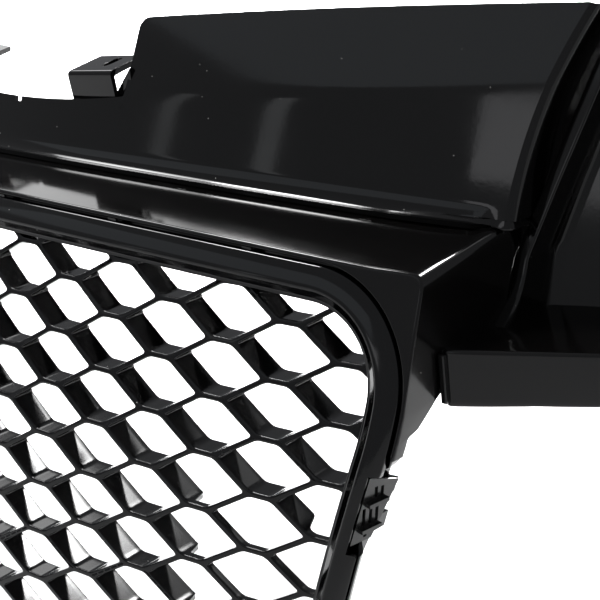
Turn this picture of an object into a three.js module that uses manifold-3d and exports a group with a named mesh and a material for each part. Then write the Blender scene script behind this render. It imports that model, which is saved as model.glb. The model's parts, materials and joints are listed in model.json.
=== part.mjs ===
// Honeycomb front grille for a passenger car: a gloss black frame with a deep top shelf, an upper
// panel that tucks under the bonnet, two headlamp wings, a trim ring and a flattened honeycomb insert.
// Millimetres. +X is the viewer's right from the front, the front faces -Y, +Z is up.

import * as THREE from 'three';
import { mergeVertices } from 'three/addons/utils/BufferGeometryUtils.js';
import Module from 'manifold-3d';

const wasm = await Module();
wasm.setup();

// ---------- driving dimensions ----------

// The whole front is bent: it leans back towards the top and sweeps back towards the sides.
const LEAN = 0.429;
const SIDE_CURVE = 0.001;
const PLAN_CURVE = 0.00032;
const PLAN_TWIST = 5e-7;

// Opening, measured on the inner edge of the trim ring in front view.
const OPENING_TOP = 4.2;
const OPENING_BOTTOM = -230;
const CROWN = 1e-4;
const CORNER_R = 33.5;
const CORNER_X = 217.3;
const SIDE_R = 130;
const SIDE_TAPER = 0.155;
const LOWER_R = 45;

// Honeycomb cells, flat side up.
const CELL_COLUMN = 30;
const CELL_ROW = 23.1;
const CELL_EDGE = 11;
const CELL_PHASE = -10.55;
const WEB = 2.4;
const WEB_DEPTH = 11;
const THIN_WEB_DEPTH = 3.5;
const THIN_PATCH = { x: 176, z: -86, bottomZ: -205 };
const SMALLEST_CELL = 14;

// Insert rim, trim ring and frame, as distances out from the opening's edge.
const RIM_IN = 2;
const RIM_OUT = 7.7;
const RING_OUT = 14.3;
const GROOVE = 1.6;
const LIP = 1.6;
const LIP_FRONT = -4.2;
const WALL = 1.8;
const GAP = 0.3;
const SEAM = 0.4;

// Box round the ring and its top shelf.
const BOX_X_LOW = 268.2;
const BOX_LOW_Z = -34;
const BOX_TOP_Z = 15;
const BOX_X_TOP = 265.5;
const SHELF_RISE = 0.2;
const BOX_FLARE = 0.145;
const BOX_CORNER = 45.6;
const LIP_END = -50;
const LIP_GONE = -56;
const DEEP_END = -87.3;

// Crease where the shelf meets the upper panel.
const CREASE_Y = 45.5;
const CREASE_SWEEP = 0.00036;
const CREASE_Z = 30.5;
const CREASE_DROP = 8e-5;

// Upper panel.
const PANEL_HALF = 274.5;
const PANEL_T = 2.5;
const PANEL_LEAN_LOW = 0.3;
const PANEL_LEAN_HIGH = 0.42;
const BEND_Z = 62;
const BEND_RISE = 2.6e-4;
const PANEL_TOP_Z = 90.5;
const PANEL_FOOT = 10;
const COVE = { up: 7, forward: 6.5 };
const STEP_X = 75;
const STEP_R = 6;
const LOW_TOP_Z = 56;
const LOW_TOP_RISE = 0.001;
const NOTCH_W = 5;
const NOTCH_DEPTH = 2.5;

// Brackets on the upper panel.
const BRACKET = { x: 53, w: 31, h: 13, rise: 5, depth: 22, t: 2.5, z: 59.5, tilt: 0.08 };
const SLOT = { w: 5, l: 12 };

// Wings beside the box.
const BEAM_Y = 28.5;
const BEAM_X = 268;
const BEAM_SWEEP = 0.35;
const BEAM_BEND = 0.0006;
const BEAM_TOP = -14.5;
const BEAM_RISE = 0.07;
const BEAM_H = 24;
const BEAM_H_OUTER = 18;
const WING_OUT = 470;
const WING_T = 2.5;
const WING_GAP = 0.8;
const STRIP_X = 272.6;
const STRIP_SLOPE = 0.24;
const STRIP_Y = 76.3;
const STRIP_LEAN = 0.36;
const STRIP_W = 6;
const RECESS_X = 290;
const RECESS_Y = 103;
const RECESS_LEAN = 0.3;
const RECESS_SWEEP = 0.2;
const WING_TOP = [[284, 106], [306, 111], [345, 99], [400, 42], [440, 18], [WING_OUT, 8]];

// Snap hooks of the trim ring, and side clips.
const HOOK = { xs: [37, 111, 185], w: 5, reach: 1.2, y0: -3, y1: -1.6 };
const CLIP = { top: -60, bottom: -87.5, n: 10.95, nTop: 14.7, nLow: 13.4, yTop: 12, yLow: 5.5 };

// Tongues under the lower edge.
const TAB = { x: 105, w: 30, h: 31, t: 3 };

// Screws, and their seats on the frame's rear flange.
const SCREW = { headR: 3, headH: 2.2, shankR: 1.4, holeR: 2, sides: 8 };
const BOSS_R = 3.7;
const BOSS_H = 4.4;
const FLANGE_T = 1.7;
const SCREW_OUT = 5.4;
const SCREW_GRIP = 6.5;

// ---------- materials ----------

const gloss = () => new THREE.MeshStandardMaterial({ color: 0x08080a, roughness: 0.08, metalness: 0 });
const satin = () => new THREE.MeshStandardMaterial({ color: 0x101012, roughness: 0.4, metalness: 0 });
const zinc = () => new THREE.MeshStandardMaterial({ color: 0x8f9298, roughness: 0.35, metalness: 1 });

// ---------- mesh helpers ----------

const lerp = (a, b, t) => a + (b - a) * t;
const clamp01 = (t) => Math.min(1, Math.max(0, t));
const range = (n) => Array.from({ length: n }, (_, i) => i);

function signedVolume(points, triangles) {
  let volume = 0;
  for (const [i, j, k] of triangles) {
    const [a, b, c] = [points[i], points[j], points[k]];
    volume += a[0] * (b[1] * c[2] - b[2] * c[1]);
    volume += a[1] * (b[2] * c[0] - b[0] * c[2]);
    volume += a[2] * (b[0] * c[1] - b[1] * c[0]);
  }
  return volume;
}

// A closed geometry from points and triangles, turned so that its faces point out.
function closedGeometry(points, triangles) {
  const outward = signedVolume(points, triangles) > 0;
  const index = triangles.flatMap(([i, j, k]) => (outward ? [i, j, k] : [i, k, j]));
  const geometry = new THREE.BufferGeometry();
  geometry.setAttribute('position', new THREE.Float32BufferAttribute(points.flat(), 3));
  geometry.setIndex(index);
  return geometry;
}

function positionsOnly(geometry) {
  const copy = geometry.clone();
  copy.deleteAttribute('normal');
  copy.deleteAttribute('uv');
  const merged = mergeVertices(copy, 1e-4);
  const old = Array.from(merged.index.array);
  const kept = [];
  for (let i = 0; i < old.length; i += 3) {
    const [a, b, c] = old.slice(i, i + 3);
    if (a !== b && b !== c && c !== a) kept.push(a, b, c);
  }
  return merged.setIndex(kept);
}

function toManifold(geometry) {
  const clean = positionsOnly(geometry);
  const vertProperties = new Float32Array(clean.attributes.position.array);
  const triVerts = new Uint32Array(clean.index.array);
  return new wasm.Manifold(new wasm.Mesh({ numProp: 3, vertProperties, triVerts }));
}

function fromManifold(solid) {
  const mesh = solid.getMesh();
  const geometry = new THREE.BufferGeometry();
  geometry.setAttribute('position', new THREE.Float32BufferAttribute(mesh.vertProperties, 3));
  geometry.setIndex(Array.from(mesh.triVerts));
  return geometry;
}

function join(...geometries) {
  const solids = geometries.map(toManifold);
  return fromManifold(solids.reduce((sum, solid) => sum.add(solid)));
}

function cut(geometry, ...tools) {
  const solids = tools.map(toManifold);
  return fromManifold(solids.reduce((rest, tool) => rest.subtract(tool), toManifold(geometry)));
}

function box(x0, x1, y0, y1, z0, z1) {
  const geometry = new THREE.BoxGeometry(x1 - x0, y1 - y0, z1 - z0);
  return geometry.translate((x0 + x1) / 2, (y0 + y1) / 2, (z0 + z1) / 2);
}

// Left-hand copy of a right-hand geometry.
function mirrored(geometry) {
  const copy = positionsOnly(geometry);
  copy.scale(-1, 1, 1);
  const index = copy.index.array;
  for (let i = 0; i < index.length; i += 3) {
    [index[i + 1], index[i + 2]] = [index[i + 2], index[i + 1]];
  }
  return copy;
}

// The right half of a solid joined to its own mirror image.
function symmetric(geometry) {
  const half = fromManifold(toManifold(geometry).intersect(toManifold(box(0, 600, -300, 300, -300, 300))));
  return join(half, mirrored(half));
}

// A solid swept through sections, each a ring of points. An open sweep gets fan caps.
function sweep(sections, closed) {
  const count = sections[0].length;
  const points = sections.flat();
  const triangles = [];
  const spans = closed ? sections.length : sections.length - 1;
  for (let i = 0; i < spans; i += 1) {
    const here = i * count;
    const there = ((i + 1) % sections.length) * count;
    for (let j = 0; j < count; j += 1) {
      const k = (j + 1) % count;
      triangles.push([here + j, there + j, there + k]);
      triangles.push([here + j, there + k, here + k]);
    }
  }
  if (!closed) {
    const last = (sections.length - 1) * count;
    for (let j = 1; j < count - 1; j += 1) {
      triangles.push([0, j, j + 1]);
      triangles.push([last, last + j + 1, last + j]);
    }
  }
  return closedGeometry(points, triangles);
}

// A sheet behind a grid of front points, grid[row][column]: as thick as the given number along the
// local normal, or shifted by the given vector.
function sheet(grid, thickness) {
  const rows = grid.length;
  const columns = grid[0].length;
  const at = (i, j) => new THREE.Vector3(...grid[i][j]);
  const shift = Array.isArray(thickness) ? new THREE.Vector3(...thickness) : null;
  const behind = grid.map((row, i) => row.map((point, j) => {
    if (shift) return at(i, j).add(shift).toArray();
    const along = at(i, Math.min(j + 1, columns - 1)).sub(at(i, Math.max(j - 1, 0)));
    const up = at(Math.min(i + 1, rows - 1), j).sub(at(Math.max(i - 1, 0), j));
    const normal = up.cross(along).normalize();
    return at(i, j).addScaledVector(normal, thickness).toArray();
  }));
  const sections = grid.map((row, i) => [...row, ...behind[i].slice().reverse()]);
  const points = sections.flat();
  const width = columns * 2;
  const triangles = [];
  for (let i = 0; i < rows - 1; i += 1) {
    for (let j = 0; j < width; j += 1) {
      const k = (j + 1) % width;
      triangles.push([i * width + j, (i + 1) * width + j, (i + 1) * width + k]);
      triangles.push([i * width + j, (i + 1) * width + k, i * width + k]);
    }
  }
  const last = (rows - 1) * width;
  for (let j = 0; j < columns - 1; j += 1) {
    const [front, back] = [j, width - 1 - j];
    triangles.push([front, front + 1, back - 1], [front, back - 1, back]);
    triangles.push([last + front, last + back, last + back - 1]);
    triangles.push([last + front, last + back - 1, last + front + 1]);
  }
  return closedGeometry(points, triangles);
}

// ---------- the bent front ----------

const frontY = (x, z) => LEAN * z + SIDE_CURVE * z * z + (PLAN_CURVE - PLAN_TWIST * z) * x * x;
const bent = (x, y, z) => [x, frontY(x, z) + y, z];

// Inner edge of the opening along its straight sides.
const cornerTopZ = OPENING_TOP - CROWN * CORNER_X ** 2;
const cornerZ = cornerTopZ - CORNER_R;
const sideAngle = -Math.atan(SIDE_TAPER);
const sideStartX = CORNER_X + CORNER_R - SIDE_R * (1 - Math.cos(sideAngle));
const sideStartZ = cornerZ + SIDE_R * Math.sin(sideAngle);
const openingSideX = (z) => sideStartX - SIDE_TAPER * (sideStartZ - z);

// Stations round the opening, clockwise from the top centre: a point and its outward normal.
function rightHalf() {
  const arc = (cx, cz, r, degrees) => degrees.map((degree) => {
    const angle = THREE.MathUtils.degToRad(degree);
    const [nx, nz] = [Math.cos(angle), Math.sin(angle)];
    return { x: cx + r * nx, z: cz + r * nz, nx, nz };
  });
  const sideDegree = THREE.MathUtils.radToDeg(sideAngle);
  const top = range(7).map((i) => {
    const x = (CORNER_X * i) / 6.7;
    return { x, z: OPENING_TOP - CROWN * x * x, nx: 2 * CROWN * x, nz: 1 };
  });
  const corner = [BOX_CORNER + 3, BOX_CORNER, BOX_CORNER - 3];
  const upper = arc(CORNER_X, cornerZ, CORNER_R, [88, 74, 60, ...corner, 31, 16, 0]);
  const shoulder = arc(CORNER_X + CORNER_R - SIDE_R, cornerZ, SIDE_R, [-4.4, -6.8, sideDegree]);
  const [nx, nz] = [Math.cos(sideAngle), Math.sin(sideAngle)];
  const levels = [-58, DEEP_END + 0.9, DEEP_END - 0.9, -107, -126, -145, -163];
  const side = levels.map((z) => ({ x: openingSideX(z), z, nx, nz }));
  const lowerZ = OPENING_BOTTOM + CROWN * 160 ** 2 + LOWER_R;
  const lowerX = openingSideX(lowerZ + LOWER_R * nz) - LOWER_R * nx;
  const lower = arc(lowerX, lowerZ, LOWER_R, range(9).map((i) => lerp(sideDegree, -88, i / 8)));
  const bottom = range(5).map((i) => {
    const x = (lowerX * (4.6 - i)) / 5.2;
    return { x, z: OPENING_BOTTOM + CROWN * x * x, nx: 2 * CROWN * x, nz: -1 };
  });
  return [...top, ...upper, ...shoulder, ...side, ...lower, ...bottom];
}

function openingStations() {
  const right = rightHalf();
  const left = right.slice(1).reverse().map((s) => ({ x: -s.x, z: s.z, nx: -s.nx, nz: s.nz }));
  const foot = { x: 0, z: OPENING_BOTTOM, nx: 0, nz: -1 };
  return [...right, foot, ...left].map((s) => {
    const length = Math.hypot(s.nx, s.nz);
    return { ...s, nx: s.nx / length, nz: s.nz / length };
  });
}

const stations = openingStations();
const outFrom = (s, n) => [s.x + n * s.nx, s.z + n * s.nz];
const onStation = (s, [n, y]) => {
  const [x, z] = outFrom(s, n);
  return bent(x, y, z);
};

// ---------- trim ring ----------

function trimRing() {
  const profile = [
    [0, -GAP], [0, -1.6], [1.4, -2], [5.9, -6.2], [7.2, -6.4], [11.5, -5.6], [RING_OUT, -4],
    [RING_OUT, -1.4], [12.7, -1.4], [12.7, -3.4], [7, -4.6], [2.6, -GAP],
  ];
  const ring = sweep(stations.map((s) => profile.map((p) => onStation(s, p))), true);
  const hooks = HOOK.xs.flatMap((hx) => [hx, -hx]).map((x) => {
    const z = OPENING_TOP - CROWN * x * x + RING_OUT;
    const y = frontY(x, z);
    return box(x - HOOK.w / 2, x + HOOK.w / 2, y + HOOK.y0, y + HOOK.y1, z - 1, z + HOOK.reach);
  });
  const notch = clipWindow();
  return cut(join(ring, ...hooks), notch, mirrored(notch));
}

// The place in the ring's outer edge that the side clip shows through.
function clipWindow() {
  const sections = [CLIP.top + 1, DEEP_END - 3.6].map((z) => {
    const x = openingSideX(z);
    const corners = [[10.6, -9], [18, -9], [18, 1], [10.6, 1]];
    return corners.map(([n, y]) => bent(x + n * Math.hypot(1, SIDE_TAPER), y, z));
  });
  return sweep(sections, false);
}

// ---------- honeycomb insert ----------

const area = (polygon) => Math.abs(THREE.ShapeUtils.area(polygon));

// The part of a convex polygon inside another convex one, both anticlockwise.
function clipConvex(polygon, clipper) {
  let kept = polygon;
  for (let i = 0; i < clipper.length && kept.length; i += 1) {
    const a = clipper[i];
    const b = clipper[(i + 1) % clipper.length];
    const side = (p) => (b.x - a.x) * (p.y - a.y) - (b.y - a.y) * (p.x - a.x);
    const next = [];
    kept.forEach((p, j) => {
      const q = kept[(j + 1) % kept.length];
      const [sp, sq] = [side(p), side(q)];
      if (sp >= 0) next.push(p);
      if (sp * sq < 0) next.push(p.clone().lerp(q, sp / (sp - sq)));
    });
    kept = next;
  }
  return kept;
}

// The webs are shallower beside the lower sides and along the bottom.
function webDepth(x, z) {
  const thin = (Math.abs(x) > THIN_PATCH.x && z < THIN_PATCH.z) || z < THIN_PATCH.bottomZ;
  return thin ? THIN_WEB_DEPTH : WEB_DEPTH;
}

// Web centre lines round one cell, and the hole inside it.
function cellOutlines(cx, cz) {
  const overhang = CELL_COLUMN - CELL_EDGE;
  const tip = CELL_EDGE / 2 + overhang;
  const half = CELL_ROW / 2;
  const slope = Math.atan2(half, overhang);
  const holeHalf = half - WEB / 2;
  const reach = tip * Math.sin(slope) - WEB / 2;
  const corner = (reach - holeHalf * Math.cos(slope)) / Math.sin(slope);
  const hexagon = (edge, end, height) => [[end, 0], [edge, height], [-edge, height], [-end, 0],
    [-edge, -height], [edge, -height]].map(([x, z]) => new THREE.Vector2(cx + x, cz + z));
  return [hexagon(CELL_EDGE / 2, tip, half), hexagon(corner, reach / Math.sin(slope), holeHalf)];
}

// A grid of cells as one closed solid, gathered cell by cell so that every face stays small.
class CellGrid {
  constructor() {
    this.points = [];
    this.triangles = [];
    this.known = new Map();
    this.edges = new Map();
  }

  index(point, back) {
    const key = `${point.x.toFixed(3)} ${point.y.toFixed(3)} ${back}`;
    if (!this.known.has(key)) {
      this.known.set(key, this.points.length);
      this.points.push(bent(point.x, back * webDepth(point.x, point.y), point.y));
    }
    return this.known.get(key);
  }

  wall(p, q) {
    const [a, b] = [this.index(p, 0), this.index(q, 0)];
    const [c, d] = [this.index(p, 1), this.index(q, 1)];
    if (a !== b) this.triangles.push([a, c, d], [a, d, b]);
  }

  cell(outer, hole) {
    const loops = hole ? [outer, hole] : [outer];
    const all = loops.flat();
    THREE.ShapeUtils.triangulateShape(outer, hole ? [hole] : []).forEach((face) => {
      const [i, j, k] = face.map((n) => all[n]);
      this.triangles.push([i, j, k].map((p) => this.index(p, 0)));
      this.triangles.push([k, j, i].map((p) => this.index(p, 1)));
    });
    if (hole) hole.forEach((p, i) => this.wall(hole[(i + 1) % hole.length], p));
    outer.forEach((p, i) => {
      const q = outer[(i + 1) % outer.length];
      const [a, b] = [this.index(p, 0), this.index(q, 0)];
      if (!this.edges.delete(`${b} ${a}`)) this.edges.set(`${a} ${b}`, [p, q]);
    });
  }

  geometry() {
    this.edges.forEach(([p, q]) => this.wall(p, q));
    return closedGeometry(this.points, this.triangles);
  }
}

function honeycombInsert() {
  const outline = (n) => stations.map((s) => new THREE.Vector2(...outFrom(s, n))).reverse();
  const [rimOut, rimIn] = [outline(RIM_OUT), outline(RIM_IN)];
  const cells = new CellGrid();
  for (let column = -9; column <= 9; column += 1) {
    const shift = column % 2 ? CELL_ROW / 2 : 0;
    for (let row = -2; row <= 12; row += 1) {
      const [full, opening] = cellOutlines(column * CELL_COLUMN, CELL_PHASE + shift - row * CELL_ROW);
      const outer = clipConvex(full, rimOut);
      const hole = clipConvex(opening, rimIn)
        .filter((p, i, all) => p.distanceTo(all[(i + 1) % all.length]) > 0.3);
      const open = hole.length > 2 && area(hole) > SMALLEST_CELL;
      if (outer.length > 2) cells.cell(outer, open ? hole : null);
    }
  }
  return cut(cells.geometry(), ...insertHoles());
}

// ---------- screws ----------

function screwGeometry(length) {
  const { headR, headH, shankR, sides } = SCREW;
  const profile = [[0, -length], [shankR, -length], [shankR, 0], [headR, 0], [headR, headH], [0, headH]];
  return positionsOnly(new THREE.LatheGeometry(profile.map(([r, y]) => new THREE.Vector2(r, y)), sides));
}

const insertScrewPlaces = [
  ...[62, 178].map((x) => [x, OPENING_TOP - CROWN * x * x + SCREW_OUT]),
  ...[-59, -165].map((z) => [openingSideX(z) + SCREW_OUT, z]),
  ...[50, 140].map((x) => [x, OPENING_BOTTOM + CROWN * x * x - SCREW_OUT]),
];

const rimDepth = (z) => (z < DEEP_END - 5 ? THIN_WEB_DEPTH : WEB_DEPTH);

function insertHoles() {
  return insertScrewPlaces.flatMap(([x, z]) => [x, -x].map((hx) => {
    const hole = new THREE.CylinderGeometry(SCREW.holeR, SCREW.holeR, 4, 6);
    return hole.translate(hx, frontY(hx, z) + rimDepth(z) - 0.3, z);
  }));
}

function insertScrews() {
  return insertScrewPlaces.flatMap(([x, z], i) => [['right', x], ['left', -x]].map(([side, sx]) => {
    const mesh = new THREE.Mesh(screwGeometry(SCREW_GRIP), zinc());
    mesh.name = `insert_screw_${side}_${i + 1}`;
    mesh.position.set(sx, frontY(sx, z) + rimDepth(z) + BOSS_H + GAP, z);
    return mesh;
  }));
}

// ---------- carrier frame ----------

const creaseY = (x) => CREASE_Y + CREASE_SWEEP * x * x;
const creaseZ = (x) => CREASE_Z - CREASE_DROP * x * x;

// The box outline in front view for one station: straight sides and nearly square upper corners.
function boxCorner(s) {
  const [x, z] = outFrom(s, RING_OUT + GROOVE + LIP);
  const centreZ = cornerZ;
  if (Math.abs(s.x) <= CORNER_X + 2 || z < centreZ - 1) return [x, z];
  const angle = Math.atan2(s.nz, Math.abs(s.nx));
  const toTop = (OPENING_TOP + RING_OUT + GROOVE + LIP - CROWN * 240 ** 2 - centreZ) / Math.sin(angle);
  const toSide = (boxSideX(centreZ + 50 * Math.tan(angle)) - CORNER_X) / Math.cos(angle);
  const eased = Math.abs(THREE.MathUtils.radToDeg(angle) - BOX_CORNER) < 1 ? 1.5 : 0;
  const reach = (angle <= 0.01 ? toSide : Math.min(toTop, toSide)) - eased;
  return [Math.sign(s.x) * (CORNER_X + reach * Math.cos(angle)), centreZ + reach * Math.sin(angle)];
}

const boxSideX = (z) => lerp(BOX_X_LOW, BOX_X_TOP, clamp01((z - BOX_LOW_Z) / (BOX_TOP_Z - BOX_LOW_Z)));

// Outer face of the box's side wall, which flares towards the back.
function wallX(y, z) {
  const x = boxSideX(z);
  return x + BOX_FLARE * (y - frontY(x, z) - LIP_FRONT);
}

// Where the box wall ends at the back, for a point on its front edge: the crease along the top, and
// a slanting edge down the side.
function boxRear(x, y, z) {
  const corner = creaseY(BOX_X_TOP) - SEAM;
  const marks = [[-160, 2], [-46, 2], [-44, 14], [-33, 27], [-15.5, 69.5], [2, stripY(8) - SEAM],
    [6, corner], [40, corner]];
  const i = marks.findIndex(([mz]) => mz > z);
  const [a, b] = [marks[i - 1], marks[i]];
  const side = Math.abs(x) > BOX_X_TOP - 5 && z < 13.5;
  const slant = Math.max(lerp(a[1], b[1], (z - a[0]) / (b[0] - a[0])), y + 6.5);
  const rearY = side ? slant : creaseY(x) - SEAM;
  const flare = BOX_FLARE * clamp01((Math.abs(x) - 225) / 38);
  const rise = SHELF_RISE * clamp01((z + 30) / 44);
  return [x + Math.sign(x) * flare * (rearY - y), rearY, z + rise * (rearY - y)];
}

// Section of the frame at one station: a lip, a groove floor, a wall round the insert and a flange
// behind it. Beside the clips the lip stops, and lower down the whole section is shallow.
function frameSection(s) {
  const n0 = RING_OUT + GROOVE;
  const n1 = n0 + LIP;
  const back = rimDepth(s.z) + GAP;
  const flange = [[9.8, back + FLANGE_T], [3.2, back + FLANGE_T], [3.2, back], [8, back]];
  const full = [[n0, LIP_FRONT], [n1, LIP_FRONT], [n1, 4.5], [9.8, 4.5], ...flange, [8, 2.7], [n0, 2.7]];
  const sunk = [[14.8, -0.7], [15.4, -0.2], [15.4, 4.5], [9.8, 4.5], ...flange, [8, 2.7], [14.8, 2.7]];
  const bare = [[9.9, 2.2], [10.2, 2.4], [10.2, 4.5], [9.8, 4.6], ...flange, [8, 2.2], [9.6, 2.2]];
  const slim = [[14.8, -3.6], [15.4, -3], [14.6, 0.4], [9.8, 4.2], ...flange, [8, 0.9], [14.8, -0.9]];
  const limits = [LIP_END, LIP_GONE, DEEP_END, -Infinity];
  return [full, sunk, bare, slim][limits.findIndex((limit) => s.z > limit)];
}

function carrierFrame() {
  const n0 = RING_OUT + GROOVE;
  const ring = sweep(stations.map((s) => frameSection(s).map((p) => onStation(s, p))), true);
  const boxed = stations.filter((s) => s.z > LIP_END);
  const ordered = [...boxed.filter((s) => s.x < 0), ...boxed.filter((s) => s.x >= 0)];
  const walls = sweep(ordered.map((s) => {
    const [x, z] = boxCorner(s);
    const front = bent(x, LIP_FRONT, z);
    const rear = boxRear(...front);
    const inward = ([px, py, pz]) => [px - WALL * s.nx, py, pz - WALL * s.nz];
    return [front, rear, inward(rear), inward(front)];
  }), false);
  const faces = [1, -1].map((sign) => {
    const corner = boxed.filter((s) => s.x * sign > CORNER_X - 20 && s.z > cornerZ - 12);
    return sweep(corner.map((s) => {
      const [x, z] = boxCorner(s);
      const [ix, iz] = outFrom(s, n0 + LIP / 2);
      const [ex, ez] = [x - 0.5 * s.nx, z - 0.5 * s.nz];
      return [bent(ix, LIP_FRONT, iz), bent(ex, LIP_FRONT, ez),
        bent(ex, LIP_FRONT + WALL, ez), bent(ix, LIP_FRONT + WALL, iz)];
    }), false);
  });
  const holes = insertScrewPlaces.flatMap(([x, z]) => [x, -x].map((hx) => {
    const hole = new THREE.CylinderGeometry(SCREW.holeR, SCREW.holeR, 8, 6);
    return hole.translate(hx, frontY(hx, z) + rimDepth(z) + 2, z);
  }));
  const bosses = insertScrewPlaces.flatMap(([x, z]) => [screwBoss(x, z), screwBoss(-x, z)]);
  const body = join(ring, walls, ...faces, ...bosses, ...lowerTabs(), ...panelBosses());
  return cut(body, ...holes, ...wingHoles());
}

// A round seat on the rear flange, square to the screw.
function screwBoss(x, z) {
  const rim = range(SCREW.sides).map((i) => {
    const angle = (2 * Math.PI * i) / SCREW.sides;
    return [x + BOSS_R * Math.cos(angle), z + BOSS_R * Math.sin(angle)];
  });
  const front = rim.map(([px, pz]) => bent(px, rimDepth(z) + 1.4, pz));
  const back = rim.map(([px, pz]) => [px, frontY(x, z) + rimDepth(z) + BOSS_H, pz]);
  return sweep([front, back], false);
}

// Blocks under the rear of the shelf that the upper panel is screwed to.
function panelBosses() {
  return panelScrewPlaces.map(([x, z]) => {
    const rear = creaseY(x) - 0.8;
    const block = box(x - 6, x + 6, rear - 9, rear, z - 5, z + 3.2);
    const hole = new THREE.CylinderGeometry(SCREW.holeR, SCREW.holeR, 12, 6);
    return cut(block, hole.translate(x, rear, z));
  });
}

// Two tongues under the lower edge that drop into the bumper.
function lowerTabs() {
  return [TAB.x, -TAB.x].map((x) => {
    const z = OPENING_BOTTOM + CROWN * x * x;
    const y = frontY(Math.abs(x) + TAB.w / 2, z - 12.9) - 1;
    return box(x - TAB.w / 2, x + TAB.w / 2, y, y + TAB.t, z - TAB.h, z - 12.9);
  });
}

// ---------- upper panel ----------

const panelTopZ = (x) => PANEL_TOP_Z + 0.105 * Math.abs(x) - 1.2e-4 * x * x;
const bendZ = (x) => BEND_Z + BEND_RISE * x * x;

function panelY(x, z) {
  const low = Math.max(Math.min(z, bendZ(x)) - creaseZ(x), 0);
  const high = Math.max(z - bendZ(x), 0);
  return creaseY(x) + PANEL_LEAN_LOW * low + PANEL_LEAN_HIGH * high;
}

const panelEdge = (z) => PANEL_HALF + 0.2 * Math.max(z - 25, 0);
const edgeReturn = (z) => lerp(15, 5, clamp01((z - 55) / 52));

function upperPanel() {
  const rowsAt = (x) => [creaseZ(x) - PANEL_FOOT, creaseZ(x), creaseZ(x) + 8, bendZ(x) - 6, bendZ(x) + 6,
    panelTopZ(x)];
  const columns = range(15).map((i) => (i - 7) / 7);
  const grid = range(6).map((row) => {
    const line = columns.map((u) => {
      const z = rowsAt(u * PANEL_HALF)[row];
      const x = u * (row > 1 ? panelEdge(z) : PANEL_HALF - 2.5);
      return [x, panelY(x, z), z];
    });
    const back = ([x, y, z]) => [x + Math.sign(x) * 0.4, y + edgeReturn(z), z];
    return [back(line[0]), ...line, back(line[line.length - 1])];
  });
  const skin = sheet(grid, PANEL_T);
  const step = new THREE.Shape();
  const rise = LOW_TOP_RISE * STEP_X ** 2;
  step.moveTo(-STEP_X, 130);
  step.lineTo(-STEP_X, LOW_TOP_Z + rise);
  step.quadraticCurveTo(0, LOW_TOP_Z - rise, STEP_X, LOW_TOP_Z + rise);
  step.lineTo(STEP_X, 130);
  const tool = new THREE.ExtrudeGeometry(step, { depth: 200, bevelEnabled: false, curveSegments: 6 });
  tool.rotateX(Math.PI / 2).translate(0, 150, 0);
  const notch = box(-NOTCH_W / 2, NOTCH_W / 2, 0, 150, LOW_TOP_Z - NOTCH_DEPTH, LOW_TOP_Z + 9);
  const holes = panelScrewPlaces.map(([x, z]) => {
    const hole = new THREE.CylinderGeometry(SCREW.holeR, SCREW.holeR, 12, 6);
    return hole.translate(x, panelY(x, z) + 1, z);
  });
  const right = topBracket();
  return cut(join(cut(skin, tool, notch), cove(), right, mirrored(right)), ...holes);
}

// The concave fillet along the panel's foot, just above the rear of the shelf.
function cove() {
  const { up, forward } = COVE;
  const xs = range(17).map((i) => ((i - 8) / 8) * (BOX_X_TOP - 1));
  return sweep(xs.map((x) => {
    const [y, z] = [creaseY(x), creaseZ(x) + 1.2 * clamp01((Math.abs(x) - 225) / 38)];
    const rim = panelY(x, z + up) + 1.1;
    return [[x, rim + 0.8, z + up + 1.6], [x, rim, z + up + 1], [x, y - 1.2, z + 2.6],
      [x, y - 3.4, z + 0.3], [x, y - forward, z - 1.3], [x, y - forward, z - 1.8], [x, y + 1.2, z - 0.4]];
  }), false);
}

// The folded bracket that the upper cross member's screw goes through, with a slotted top.
function topBracket() {
  const { x, w, h, rise, depth, t, z, tilt } = BRACKET;
  const y = panelY(x, z);
  const profile = new THREE.Shape();
  profile.moveTo(0.4, -5);
  profile.lineTo(-2, h);
  profile.lineTo(depth, h + rise);
  profile.lineTo(depth, h + rise - t);
  profile.lineTo(t - 1.6, h - t);
  profile.lineTo(t + 0.4, -5);
  const fold = new THREE.ExtrudeGeometry(profile, { depth: w, bevelEnabled: false });
  fold.rotateX(Math.PI / 2).rotateZ(Math.PI / 2).translate(-w / 2, 0, 0);
  const web = new THREE.Shape();
  web.moveTo(w / 2 - 2, -4);
  web.lineTo(STEP_X - x + 3, -4);
  web.lineTo(STEP_X - x + 3, 14);
  web.lineTo(w / 2 - 2, 2);
  const gusset = new THREE.ExtrudeGeometry(web, { depth: 2, bevelEnabled: false });
  gusset.rotateX(Math.PI / 2).translate(0, 4.5, 0);
  const slot = new THREE.Shape();
  const [r, straight] = [SLOT.w / 2, (SLOT.l - SLOT.w) / 2];
  slot.absarc(0, straight, r, 0, Math.PI, false);
  slot.absarc(0, -straight, r, Math.PI, 2 * Math.PI, false);
  const slotTool = new THREE.ExtrudeGeometry(slot, { depth: 20, bevelEnabled: false, curveSegments: 5 });
  slotTool.translate(3, depth * 0.55, h - 8);
  return cut(join(fold, gusset), slotTool).rotateY(-tilt).translate(x, y, z);
}

const panelScrewPlaces = [-215, -120, 120, 215].map((x) => [x, creaseZ(x) - 6]);

function panelScrews() {
  return panelScrewPlaces.map(([x, z], i) => {
    const mesh = new THREE.Mesh(screwGeometry(9), zinc());
    mesh.name = `panel_screw_${i + 1}`;
    mesh.position.set(x, panelY(x, z) + PANEL_T + 1.1, z);
    return mesh;
  });
}

// ---------- wings ----------

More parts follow.
